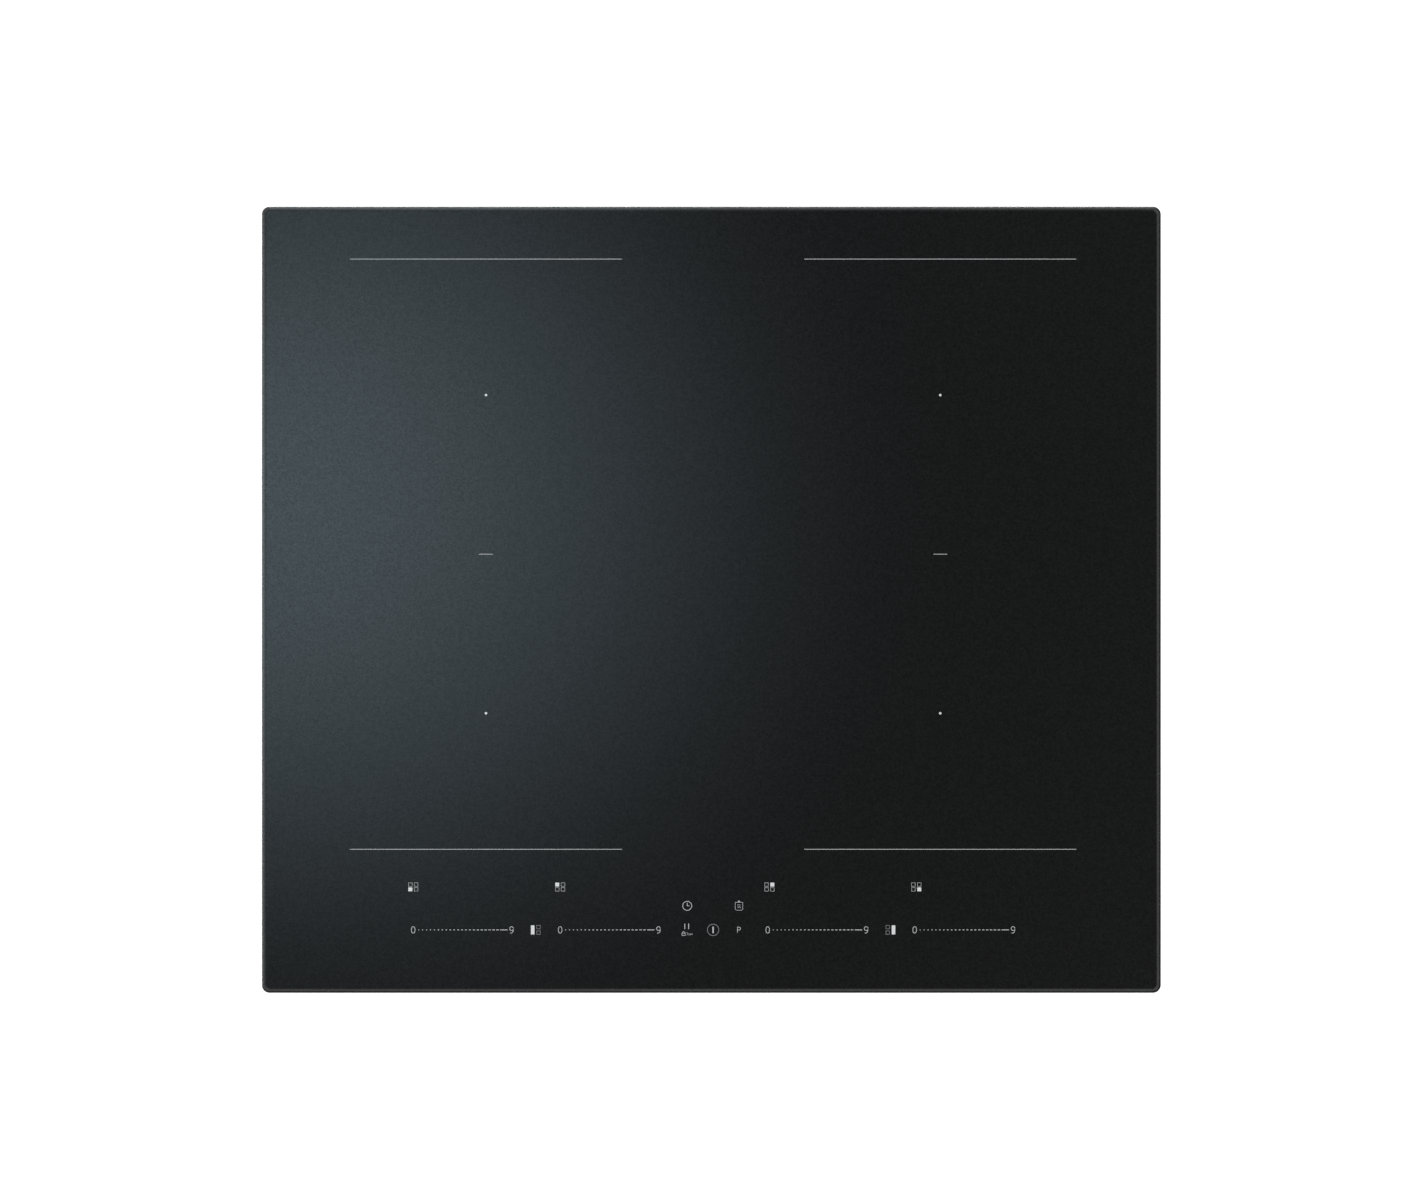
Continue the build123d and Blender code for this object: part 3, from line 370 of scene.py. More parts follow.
# %% [markdown]
# ## Plastics and boards
# Formers, carriers, blowers and the gland are injection moulded: an eroded mould leaves a fine grain and
# the melt leaves slow cloudy shades. Boards have green solder resist over copper tracks, which run one way
# in some fields and across in others. A ribbon cable shows its wires as ribs, and a stator shows the edges
# of its stacked sheets. Tracks and ribs could be meshes, but they are so low that stripes with a little
# relief do.


# %% Finishes of the moulded pieces
def moulded(name, dark, light, least, most, texture=0.4 * MM):
    material = finish(name, shine=0.45)
    tint(material, grain(material, 12 * MM, detail=3.0), dark, light)
    eroded = grain(material, texture, detail=3.0)
    gloss(material, eroded, least, most)
    relief(material, eroded, 0.02 * MM)
    return material


def striped(name, size, axis, dark, light, metal):
    material = finish(name, metal=metal)
    stripe = bands(material, size, axis)
    tint(material, stripe, dark, light, 0.2, 0.8)
    gloss(material, stripe, 0.4, 0.6)
    relief(material, stripe, 0.2 * MM)
    return material


TRACK_FIELD, TRACK_PITCH = 11 * MM, 1.8 * MM


def solder_resist():
    """Tracks that run one way in half of the fields; a mix takes its share at 0, its values at 2 and 3."""
    material = finish("solder_resist", coat=0.2, coat_rough=0.2)
    halves = {0: crystals(material, TRACK_FIELD), 1: 0.5}
    field = add(material, "ShaderNodeMath", halves, operation="GREATER_THAN").outputs["Value"]
    lines = {0: field, 2: bands(material, TRACK_PITCH, "X"), 3: bands(material, TRACK_PITCH, "Y")}
    tracks = add(material, "ShaderNodeMix", lines).outputs[0]
    tint(material, tracks, (0.008, 0.070, 0.028), (0.030, 0.170, 0.070), 0.70, 0.82)
    gloss(material, grain(material, 3 * MM), 0.35, 0.5)
    relief(material, tracks, 0.04 * MM)
    return material


# %% [markdown]
# ## One finish for each slot
# The record of the construction names a material slot for every node. The pieces could be dressed one by
# one, but a table of slots and one loop can't forget a piece.

# %% Dress the construction
slot_finish = {
    "white_print": white_print,
    "black_glass": glass_finish,
    "seal_foam": foam("seal_foam", (0.004, 0.004, 0.004), (0.020, 0.020, 0.021)),
    "silicone": silicone(),
    "frame_steel": zinc_sheet("frame_zinc", 2 * MM, (0.33, 0.34, 0.36), (0.37, 0.38, 0.40)),
    "tray_steel": zinc_sheet("tray_zinc", 2.5 * MM, (0.34, 0.35, 0.37), (0.40, 0.41, 0.43)),
    "spring_steel": rolled_sheet("spring_steel", 2, (0.26, 0.26, 0.27), (0.40, 0.40, 0.41), 0.3, 0.45),
    "screw_steel": turned_metal("bright_zinc", (0.50, 0.51, 0.53), (0.66, 0.66, 0.66), 0.22, 0.36),
    "copper_wire": litz_copper(),
    "former_plastic": moulded("former_nylon", (0.010, 0.010, 0.011), (0.018, 0.018, 0.019), 0.5, 0.7),
    "ferrite": sintered("ferrite", 0.5 * MM, (0.010, 0.010, 0.011), (0.030, 0.030, 0.031), 0.45, 0.7),
    "mica": mica_sheet(),
    "sensor_ceramic": sintered("white_ceramic", 0.4 * MM, (0.66, 0.65, 0.61), (0.78, 0.77, 0.74), 0.3, 0.5),
    "plate_aluminium": rolled_sheet(
        "rolled_aluminium", 0, (0.52, 0.53, 0.54), (0.66, 0.67, 0.68), 0.28, 0.42,
    ),
    "sink_aluminium": rolled_sheet("drawn_aluminium", 1, (0.46, 0.47, 0.48), (0.60, 0.61, 0.62), 0.3, 0.5),
    "board_green": solder_resist(),
    "carrier_plastic": moulded("carrier_plastic", (0.020, 0.020, 0.022), (0.032, 0.032, 0.034), 0.45, 0.65),
    "transistor_black": moulded(
        "epoxy_black", (0.006, 0.006, 0.006), (0.012, 0.012, 0.012), 0.5, 0.65, 0.2 * MM,
    ),
    "capacitor_box": moulded("capacitor_grey", (0.22, 0.23, 0.25), (0.30, 0.31, 0.33), 0.25, 0.4),
    "terminal_brass": turned_metal("turned_brass", (0.55, 0.37, 0.12), (0.74, 0.54, 0.22), 0.2, 0.35),
    "choke_green": moulded("choke_coating", (0.015, 0.06, 0.025), (0.03, 0.10, 0.045), 0.3, 0.45),
    "block_plastic": moulded("terminal_ivory", (0.52, 0.51, 0.45), (0.64, 0.63, 0.57), 0.3, 0.45),
    "wire_jacket": moulded("wire_jacket", (0.008, 0.008, 0.009), (0.016, 0.016, 0.017), 0.4, 0.55),
    "gland_plastic": moulded("gland_nylon", (0.006, 0.006, 0.006), (0.013, 0.013, 0.013), 0.4, 0.6),
    "fan_plastic": moulded("fan_plastic", (0.009, 0.009, 0.010), (0.018, 0.018, 0.019), 0.45, 0.6),
    "stator_steel": striped("stator_sheets", 0.5 * MM, "Z", (0.10, 0.09, 0.08), (0.30, 0.28, 0.26), 1.0),
    "impeller_plastic": moulded("impeller_plastic", (0.020, 0.020, 0.021), (0.034, 0.034, 0.036), 0.4, 0.55),
    "shaft_steel": turned_metal("ground_steel", (0.54, 0.55, 0.56), (0.68, 0.69, 0.70), 0.12, 0.24),
    "pad_rubber": foam("touch_foam", (0.006, 0.006, 0.007), (0.022, 0.022, 0.024)),
    "display_plastic": moulded("display_lens", (0.004, 0.004, 0.005), (0.010, 0.010, 0.012), 0.08, 0.2),
    "ribbon_grey": striped("ribbon_wires", 1.27 * MM, "X", (0.20, 0.21, 0.22), (0.40, 0.41, 0.43), 0.0),
}
for part in frame["record"]["subparts"]:
    frame["nodes"][part["node"]].material_slots[0].material = slot_finish[part["material_slot"]]

# %% [markdown]
# ## Pieces made again
# Two kinds of pieces are more than their solids can say: the windings, which are twisted bundles, and the
# foam seal, which is squeezed. Each is made again here and takes the place of its solid. A curve with a
# bevel could make them too, but a skin over rails of points that run along the piece says where every
# point lies, and one helper serves both.


# %% Helpers for skins
def skin(mesh, rails, closed):
    """A skin over rails of points that run side by side round a section, with ends unless closed."""
    rails = [[mesh.verts.new(spot) for spot in rail] for rail in rails]
    count = len(rails[0])
    for i in range(count if closed else count - 1):
        j = (i + 1) % count
        for one, two in zip(rails, rails[1:] + rails[:1]):
            mesh.faces.new((one[i], one[j], two[j], two[i]))
    if not closed:
        mesh.faces.new([rail[0] for rail in rails])
        mesh.faces.new([rail[-1] for rail in reversed(rails)])


def fit(name, mesh, material, smooth=False):
    """Turn a drawn mesh into a piece that rides on the cooktop."""
    data = bpy.data.meshes.new(name)
    bmesh.ops.recalc_face_normals(mesh, faces=mesh.faces)
    mesh.to_mesh(data)
    mesh.free()
    data.materials.append(material)
    data.polygons.foreach_set("use_smooth", [smooth] * len(data.polygons))
    piece = bpy.data.objects.new(name, data)
    scene.collection.objects.link(piece)
    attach(piece, "cooktop")
    print(name, len(data.polygons), "faces")
    return piece


# %% [markdown]
# ## Litz windings
# Litz wire is a bundle of strands that turn slowly about each other, so its outside shows lobes. A tube
# for every strand would need far too many faces. Here one skin with seven lobes follows the path of the
# wire: up from the power board, inwards in half circles that each shrink by half a pitch, then out again
# below the turns and down. Sizes are in millimetres, as in the construction.

# %% Lead the wire
WIRE = 2.36
WIRE_PITCH = 2.9
WIRE_REACH = 86.0
WIRE_TURNS = 20
WIRE_EASE = 1.0
OUTER_BEND, INNER_BEND = 7.0, 3.325
WIRE_STEP = 5.0
BEND_STEPS = 4

right, back, up = Vector((1, 0, 0)), Vector((0, 1, 0)), Vector((0, 0, 1))


def curve(route, heading, turned, radius, angle):
    """Carry the route round an arc that leaves along heading and bends towards turned."""
    start = route[-1]
    steps = max(round(radius * angle / WIRE_STEP), BEND_STEPS)
    for turn in [angle * (i + 1) / steps for i in range(steps)]:
        route.append(start + radius * (heading * math.sin(turn) + turned * (1 - math.cos(turn))))


def straight(route, end):
    """Carry the route straight on to a point."""
    start = route[-1]
    steps = max(round((end - start).length / WIRE_STEP), 1)
    route.extend(start.lerp(end, (i + 1) / steps) for i in range(steps))


def winding_route(low, high):
    """The path of one wire from end to end, in millimetres about the coil's middle."""
    half_turn = math.pi
    quarter = half_turn / 2
    route = [Vector((-OUTER_BEND, -WIRE_REACH, low))]
    straight(route, Vector((-OUTER_BEND, -WIRE_REACH, high - OUTER_BEND)))
    curve(route, up, right, OUTER_BEND, quarter)
    for i in range(2 * WIRE_TURNS):
        side = 1 if i % 2 == 0 else -1
        last = i + 1 == 2 * WIRE_TURNS
        radius = WIRE_REACH - WIRE_PITCH / 4 - i * WIRE_PITCH / 2 - (WIRE_EASE if last else 0)
        curve(route, side * right, side * back, radius, half_turn)
    curve(route, right, -up, INNER_BEND, quarter)
    curve(route, -up, -back, INNER_BEND, quarter)
    straight(route, Vector((route[-1].x, INNER_BEND - WIRE_REACH, route[-1].z)))
    curve(route, -back, -up, INNER_BEND, quarter)
    straight(route, Vector((route[-1].x, route[-1].y, low)))
    return route


print("wire of", WIRE, "mm in", WIRE_TURNS, "turns")

# %% Twist the bundle
WIRE_LAY = 90.0
LOBES = 7
LOBE_DEPTH = 0.14


def twisted(mesh, route):
    """A bundle of lobes that turns about the route as it goes."""
    rails = [[] for i in range(2 * LOBES)]
    normal, along = right, 0.0
    for i, here in enumerate(route):
        before, after = route[max(i - 1, 0)], route[min(i + 1, len(route) - 1)]
        heading = (after - before).normalized()
        normal = (normal - heading * normal.dot(heading)).normalized()
        across = heading.cross(normal)
        along += (here - before).length
        for k, rail in enumerate(rails):
            turn = 2 * math.pi * (k / len(rails) + along / WIRE_LAY)
            radius = WIRE / 2 * (1 - LOBE_DEPTH * (k % 2))
            rail.append((here + radius * (normal * math.cos(turn) + across * math.sin(turn))) * MM)
    skin(mesh, rails, False)


print("bundle of", LOBES, "lobes, one turn in", WIRE_LAY, "mm")

# %% Wind the coils
zones = {}
for zone in ("rear_left", "rear_right", "front_left", "front_right"):
    low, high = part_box(f"mica_disc_{zone}")
    zones[zone] = (low + high) / 2 / MM
    low, high = [corner.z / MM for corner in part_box(f"coil_winding_{zone}")]
    facing = 1 if zone.startswith("rear") else -1
    route = winding_route(low, high - WIRE / 2)
    centre = Vector((zones[zone].x, zones[zone].y, 0))
    route = [centre + Vector((facing * p.x, facing * p.y, p.z)) for p in route]
    mesh = bmesh.new()
    twisted(mesh, route)
    piece = fit(f"litz_winding_{zone}", mesh, slot_finish["copper_wire"], True)
    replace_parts(piece, f"coil_winding_{zone}")

# %% [markdown]
# ## The foam seal
# The weight of the glass squeezes the foam strip under its rim, so the two sides bulge. A bevelled curve
# would swell above and below too. Rails at several heights, each drawn in by its distance from the middle
# height, bulge only sideways.

# %% Squeeze the seal
SEAL_WIDTH = 9.0 * MM
SEAL_CORNER = 5.2 * MM
SEAL_BULGE = 0.5 * MM
SEAL_STEPS = 8
CORNER_STEPS = 6

seal_low, seal_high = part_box("rim_seal")
seal_middle, seal_half = (seal_low + seal_high) / 2, (seal_high - seal_low) / 2


def seal_rail(inset, height):
    """A loop round the seal, with round corners, that far in from its outside."""
    made = []
    for i, (across, along) in enumerate(((1, 1), (-1, 1), (-1, -1), (1, -1))):
        x = seal_middle.x + across * (seal_half.x - inset - SEAL_CORNER)
        y = seal_middle.y + along * (seal_half.y - inset - SEAL_CORNER)
        for k in range(CORNER_STEPS + 1):
            turn = (i + k / CORNER_STEPS) * math.pi / 2
            made.append((x + SEAL_CORNER * math.cos(turn), y + SEAL_CORNER * math.sin(turn), height))
    return made


outside, inside = [], []
for i in range(SEAL_STEPS + 1):
    height = seal_low.z + (seal_high.z - seal_low.z) * i / SEAL_STEPS
    drawn_in = SEAL_BULGE * (2 * i / SEAL_STEPS - 1) ** 2
    outside.append(seal_rail(drawn_in, height))
    inside.append(seal_rail(SEAL_WIDTH - drawn_in, height))
mesh = bmesh.new()
skin(mesh, outside + inside[::-1], True)
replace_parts(fit("foam_seal", mesh, slot_finish["seal_foam"], True), "rim_seal")

# %% [markdown]
# ## Drawing with thin enamel
# Enamel lies on the glass a few hundredths of a millimetre thick. It could be painted by the glass
# finish, but then it would blur and have no edge. Real thin meshes stay sharp from any side. One shape is
# enough: a ribbon that follows a line at an even width. A short wide ribbon is a bar, and one that closes
# on its own centre is a dot.

# %% Helpers for the print
PRINT_RISE = 0.04 * MM
PRINT_SHIFT = 1.2
PRINT_FIT = 0.9988
ARC_STEPS = 28
LEAST_MITRE = 0.5
DOT_FILL = 0.98


def point(x, y):
    """A place on the print, in millimetres from its middle."""
    return Vector((x * PRINT_FIT + PRINT_SHIFT, y * PRINT_FIT)) * MM


def shell(mesh, rails, closed):
    """A closed thin skin between two rails of points that run side by side."""
    heights = (glass_high.z, glass_high.z + PRINT_RISE)
    left_low, left_high, right_low, right_high = [
        [(p.x, p.y, z) for p in rail] for rail in rails for z in heights
    ]
    skin(mesh, (left_low, right_low, right_high, left_high), closed)


def ribbon(mesh, points, width, closed=False):
    """A line of even width along the points."""
    rails = ([], [])
    for i, here in enumerate(points):
        before = here - points[i - 1] if closed or i else Vector((0, 0))
        after = points[(i + 1) % len(points)] - here if closed or i + 1 < len(points) else Vector((0, 0))
        before, after = before.normalized(), after.normalized()
        heading = (before + after).normalized()
        side = Vector((-heading.y, heading.x))
        reach = width * MM / 2 / max(heading.dot(after if after.length else before), LEAST_MITRE)
        rails[0].append(here + side * reach)
        rails[1].append(here - side * reach)
    shell(mesh, rails, closed)


def bar(mesh, x, y, length, height):
    """A filled rectangle about a centre."""
    ribbon(mesh, [point(x - length / 2, y), point(x + length / 2, y)], height)


def arc(x, y, wide, tall, start=0.0, end=360.0, power=1.0):
    """Points of an oval arc from one angle to another; a power under 1 squares it."""
    whole = abs(end - start) == 360
    made = []
    for i in range(ARC_STEPS + (0 if whole else 1)):
        turn = math.radians(start + (end - start) * i / ARC_STEPS)
        across, along = math.cos(turn), math.sin(turn)
        made.append(point(
            x + wide * math.copysign(abs(across) ** power, across),
            y + tall * math.copysign(abs(along) ** power, along),
        ))
    return made


def dot(mesh, x, y, radius):
    """A filled round spot, drawn as a ring that closes on its own centre."""
    ribbon(mesh, arc(x, y, radius / 2, radius / 2), radius * DOT_FILL, True)


def printed(name, mesh, ink):
    """Turn the drawn mesh into a piece on the glass."""
    fit(name, mesh, ink)


# %% [markdown]
# ## Marks of the cooking zones
# Every zone has a dot over its pan sensor, a long line along its outer side and shares a short dash with
# the zone behind or in front of it, where the two join into one long zone. Their places come from the
# mica discs under the glass, so the marks stay over the coils.

# %% Print the zones
ZONE_REACH = 89.35
LINE_WIDTH = 0.37
DOT_RADIUS = 0.82
DASH_LENGTH = 9.2

mesh = bmesh.new()
for zone, middle in zones.items():
    outwards = 1 if zone.startswith("rear") else -1
    bar(mesh, middle.x, middle.y + outwards * ZONE_REACH, 2 * ZONE_REACH, LINE_WIDTH)
printed("zone_lines", mesh, line_print)

mesh = bmesh.new()
for side in ("left", "right"):
    between = (zones[f"rear_{side}"] + zones[f"front_{side}"]) / 2
    bar(mesh, between.x, between.y, DASH_LENGTH, LINE_WIDTH)
printed("zone_dashes", mesh, line_print)

mesh = bmesh.new()
for middle in zones.values():
    dot(mesh, middle.x, middle.y, DOT_RADIUS)
printed("zone_centres", mesh, white_print)

# %% [markdown]
# ## Power sliders
# Each zone has a slider from 0 to 9. Its scale starts with small points that grow into dashes and end in
# a solid stroke, which a loop can draw. The digits are plain ovals and arcs: a text object would also do,
# but drawn strokes keep the print's even line.

# %% Print the sliders
PAD_RADIUS = 3.5
SLIDER_CENTRES = (-164.7, -68.2, 68.2, 164.7)
SLIDER_REACH = 32.3
SCALE_START = 3.6
SCALE_PITCH = 2.59
SCALE_DASHES = 21
SCALE_HEIGHT = 0.5
DASH_LEAST, DASH_MOST = 0.55, 1.7
END_STROKE = 4.8
STROKE = 0.4

pads_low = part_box("touch_pads")[0]
slider_row = pads_low.y / MM + PAD_RADIUS
print("slider row", round(slider_row, 1), "mm")


def zero(mesh, x, y):
    """A tall oval with flat flanks."""
    wide, tall, power = 1.18, 2.08, 0.82
    ribbon(mesh, arc(x, y, wide, tall, power=power), STROKE, True)


def nine(mesh, x, y):
    """A ring with a tail that bends in below it."""
    ring, ring_rise = (1.2, 1.28), 0.85
    tail, tail_shift, tail_rise = (1.5, 2.45), -0.3, 0.35
    ribbon(mesh, arc(x, y + ring_rise, *ring), STROKE, True)
    ribbon(mesh, arc(x + tail_shift, y + tail_rise, *tail, 12, -112), STROKE)


mesh = bmesh.new()
for centre in SLIDER_CENTRES:
    for i in range(SCALE_DASHES):
        width = DASH_LEAST + (DASH_MOST - DASH_LEAST) * i / (SCALE_DASHES - 1)
        x = centre - SLIDER_REACH + SCALE_START + i * SCALE_PITCH
        bar(mesh, x, slider_row, width, SCALE_HEIGHT)
    end = centre - SLIDER_REACH + SCALE_START + SCALE_DASHES * SCALE_PITCH
    bar(mesh, end + END_STROKE / 2 - DASH_MOST / 2, slider_row, END_STROKE, SCALE_HEIGHT)
printed("slider_scales", mesh, line_print)

mesh = bmesh.new()
for centre in SLIDER_CENTRES:
    zero(mesh, centre - SLIDER_REACH, slider_row)
    nine(mesh, centre + SLIDER_REACH, slider_row)
printed("slider_digits", mesh, line_print)

# %% [markdown]
# ## Signs over and between the sliders
# Above each slider a plan of four small squares has the slider's own zone filled in. Between two sliders
# a filled bar beside two squares stands for a pair of zones that work as one. A cut-out plate could show
# an outlined square, but a ribbon round its four corners needs no cutting.

# %% Print the zone signs
SIGN_ROW = -188.7
SIGN_STEP = (3.79, 3.15)
SQUARE = (2.6, 2.55)
SQUARE_LINE = 0.22
FILLED = ((-1, -1), (-1, 1), (1, 1), (1, -1))
SIGN_NUDGE = (0.0, 0.0, 1.1, 1.1)
PAIR_X = 118.5
PAIR_BAR = (2.35, 5.9)
PAIR_LINE = 0.3
PAIR_STEP = 1.8
CORNERS = ((-1, -1), (1, -1), (1, 1), (-1, 1))


def square(mesh, x, y, size, line):
    """An outlined square; line is the width of its stroke."""
    wide, tall = (size[0] - line) / 2, (size[1] - line) / 2
    ribbon(mesh, [point(x + i * wide, y + j * tall) for i, j in CORNERS], line, True)


mesh, solid = bmesh.new(), bmesh.new()
for centre, filled, nudge in zip(SLIDER_CENTRES, FILLED, SIGN_NUDGE):
    for i in (-1, 1):
        for j in (-1, 1):
            x = centre - SLIDER_REACH + nudge + i * SIGN_STEP[0] / 2
            y = SIGN_ROW + j * SIGN_STEP[1] / 2
            if (i, j) == filled:
                bar(solid, x, y, *SQUARE)
            else:
                square(mesh, x, y, SQUARE, SQUARE_LINE)
for side in (-1, 1):
    bar(solid, side * PAIR_X, slider_row, *PAIR_BAR)
printed("zone_squares", mesh, line_print)
printed("filled_signs", solid, white_print)

mesh = bmesh.new()
for side in (-1, 1):
    for j in (-1, 1):
        square(mesh, side * (PAIR_X - SIGN_STEP[0]), slider_row + PAIR_STEP * j, SQUARE, PAIR_LINE)
printed("pair_squares", mesh, grey_print)

# %% [markdown]
# ## Keys
# In the middle are the keys that serve all zones: a timer, a pan program, pause with a lock hint, the
# main switch and a boost letter. They are common signs of any kitchen appliance. A font of signs would
# need a file, so each is a short function of ribbons and bars, with its sizes in millimetres about its
# own middle.

# %% Draw the keys
FINE_STROKE = 0.38
POT_LINE = 0.26
LETTER_LINE = 0.36


def clock(mesh, x, y):
    """A ring with two hands."""
    radius, minute, hour = 2.95, 2.0, 1.5
    ribbon(mesh, arc(x, y, radius, radius), STROKE, True)
    ribbon(mesh, [point(x, y + minute), point(x, y), point(x + hour, y)], FINE_STROKE)


def pot(mesh, x, y):
    """A pot with a knob on its lid and three lines of a program."""
    wide, top, low, corner = 2.45, 2.3, -2.9, 1.1
    rim = [point(x - wide, y + top), point(x + wide, y + top)]
    right_foot = arc(x + wide - corner, y + low + corner, corner, corner, 0, -90)
    left_foot = arc(x - wide + corner, y + low + corner, corner, corner, -90, -180)
    ribbon(mesh, rim + right_foot + left_foot, POT_LINE, True)
    knob, knob_rise = (1.3, 0.7), 0.65
    bar(mesh, x, y + top + knob_rise, *knob)
    line, line_rise, line_fall = (2.2, 0.2), 0.75, 0.95
    line_shift, line_step = -0.1, 0.12
    for i in range(3):
        bar(mesh, x + line_shift + line_step * i, y + line_rise - line_fall * i, *line)


def pause(mesh, x, y):
    """Two upright bars."""
    apart, size = 1.25, (0.52, 3.6)
    for side in (-1, 1):
        bar(mesh, x + apart * side, y, *size)


def letter_p(mesh, x, y):
    """A stem with a bowl."""
    stem, foot, head = -1.0, -1.95, 1.8
    ribbon(mesh, [point(x + stem, y + foot), point(x + stem, y + head)], LETTER_LINE)
    wide, tall, shift, rise, joint = 0.9, 0.92, 0.1, 0.68, -0.8
    bowl = arc(x + shift, y + rise, wide, tall, 90, -90)
    ends = [point(x + joint, y + rise + side * tall) for side in (1, -1)]
    ribbon(mesh, [ends[0], *bowl, ends[1]], LETTER_LINE)


print("keys drawn with lines of", FINE_STROKE, POT_LINE, LETTER_LINE, "mm")

# %% Print the keys
KEY_PITCH = 17.0
KEY_RISE = 15.8
PAUSE_SHIFT, PAUSE_RISE = -17.35, 2.3
BOOST_RISE = 0.2
SWITCH_STROKE = (0.9, 4.3)
SWITCH_RADIUS = 3.75

mesh = bmesh.new()
clock(mesh, -KEY_PITCH, slider_row + KEY_RISE)
pot(mesh, KEY_PITCH, slider_row + KEY_RISE)
pause(mesh, PAUSE_SHIFT, slider_row + PAUSE_RISE)
bar(mesh, 0, slider_row, *SWITCH_STROKE)
letter_p(mesh, KEY_PITCH, slider_row + BOOST_RISE)
printed("key_signs", mesh, line_print)
mesh = bmesh.new()
ribbon(mesh, arc(0, slider_row, SWITCH_RADIUS, SWITCH_RADIUS), FINE_STROKE, True)
printed("switch_ring", mesh, grey_print)

# %% Print the lock hint
HINT_LINE = 0.14
LOCK_SHIFT, LOCK_FALL = 2.4, 2.9
HINT_SHIFT, HINT_FALL = 0.2, 2.6


def lock(mesh, x, y):
    """A case with a bow."""
    case, case_line = (2.4, 1.8), 0.32
    bow, bow_rise, bow_line = (0.75, 0.95), 0.75, 0.3
    square(mesh, x, y, case, case_line)
    ribbon(mesh, arc(x, y + bow_rise, *bow, 0, 180), bow_line)


def hint(mesh, x, y):
    """A figure three and the letters s, e and c, a millimetre and a half tall."""
    bowl, bend, oval = 0.42, (0.3, 0.28), (0.4, 0.5)
    s_place, e_place, c_place, e_bar = x + 1.25, x + 2.4, x + 3.5, 0.35
    s_top, middle = y + 0.02, y - 0.26
    for side in (1, -1):
        ribbon(mesh, arc(x, y + bowl * side, bowl, bowl, 140 * side, -100 * side), HINT_LINE)
    upper = arc(s_place, s_top, *bend, 50, 270)
    lower = arc(s_place, s_top - 2 * bend[1], *bend, 90, -130)
    ribbon(mesh, upper + lower, HINT_LINE)
    ribbon(mesh, [point(e_place - e_bar, middle), *arc(e_place, middle, *oval, 0, 320)], HINT_LINE)
    ribbon(mesh, arc(c_place, middle, *oval, 50, 310), HINT_LINE)


mesh = bmesh.new()
lock(mesh, -KEY_PITCH - LOCK_SHIFT, slider_row - LOCK_FALL)
hint(mesh, -KEY_PITCH - HINT_SHIFT, slider_row - HINT_FALL)
printed("lock_hint", mesh, line_print)

# %% [markdown]
# ## The table
# The cooktop stands on a white table that glows a little, as the tables for product pictures do, so the
# ground stays white right up to the edge. A table that only reflects would show a shadow round the tray.
# From below the table is clear, so that the underside can be looked at too.

# %% Lay the table
TABLE_REACH = 8.0

mesh = bmesh.new()
table_height = cad_box[0][2]
mesh.faces.new([mesh.verts.new((i * TABLE_REACH, j * TABLE_REACH, table_height)) for i, j in CORNERS])
table_data = bpy.data.meshes.new("table")
mesh.to_mesh(table_data)
mesh.free()
table = bpy.data.objects.new("table", table_data)
scene.collection.objects.link(table)
print("table at", round(table_height / MM, 1), "mm")

# %% Finish the table
TABLE_GREY = 0.5
TABLE_ROUGH = 0.9
TABLE_GLOW = 0.9

table_white = bpy.data.materials.new("table_white")
table_white.use_nodes = True
shader = table_white.node_tree.nodes["Principled BSDF"]
shader.inputs["Base Color"].default_value = (TABLE_GREY, TABLE_GREY, TABLE_GREY, 1)
shader.inputs["Roughness"].default_value = TABLE_ROUGH
shader.inputs["Emission Color"].default_value = (1, 1, 1, 1)
shader.inputs["Emission Strength"].default_value = TABLE_GLOW
clear = add(table_white, "ShaderNodeBsdfTransparent", {}).outputs["BSDF"]
below = add(table_white, "ShaderNodeNewGeometry", {}).outputs["Backfacing"]
one_way = add(table_white, "ShaderNodeMixShader", {0: below, 1: shader.outputs["BSDF"], 2: clear})
ground = table_white.node_tree.nodes["Material Output"]
table_white.node_tree.links.new(one_way.outputs["Shader"], ground.inputs["Surface"])
table_data.materials.append(table_white)
print("table glows by", TABLE_GLOW)

# %% [markdown]
# ## The room
# The glass shows the room as a mirror does, and its round edge shows the parts near the horizon. So the
# room is a soft dome with its own level for each height, and it is brighter near the horizon in two narrow
# sectors, on the left and behind, where the edge is bright in the photograph. An even dome would make the
# edge the same all round and the top grey. The camera itself sees plain white past the table.

# %% Raise the dome
DOME_STRENGTH = 8.0
BRIGHT_WIDTH = (0.80, 0.98)
BRIGHT_LEVELS = (
    (-0.1, 0.06), (0.0, 0.08), (0.1, 0.08), (0.3, 0.09), (0.5, 0.11), (0.62, 0.18),
    (0.74, 0.11), (0.84, 0.03), (0.94, 0.009), (1.0, 0.001),
)
DIM_LEVELS = (
    (-0.1, 0.06), (0.0, 0.0), (0.3, 0.008), (0.5, 0.05), (0.66, 0.14),
    (0.83, 0.22), (0.945, 0.064), (0.983, 0.0055), (1.0, 0.001),
)

world = bpy.data.worlds.new("soft_dome")
world.use_nodes = True
scene.world = world


def by_height(levels, height):
    """Grey that follows the sine of the height over the horizon, from -1 to 1."""
    ramp = add(world, "ShaderNodeValToRGB", {"Fac": height})
    stops = ramp.color_ramp.elements
    while len(stops) < len(levels):
        stops.new(0.5)
    for stop, (where, level) in zip(stops, levels):
        stop.position = (where + 1) / 2
        stop.color = (level, level, level, 1)
    return ramp.outputs["Color"]


print("dome with", len(BRIGHT_LEVELS), "and", len(DIM_LEVELS), "levels")

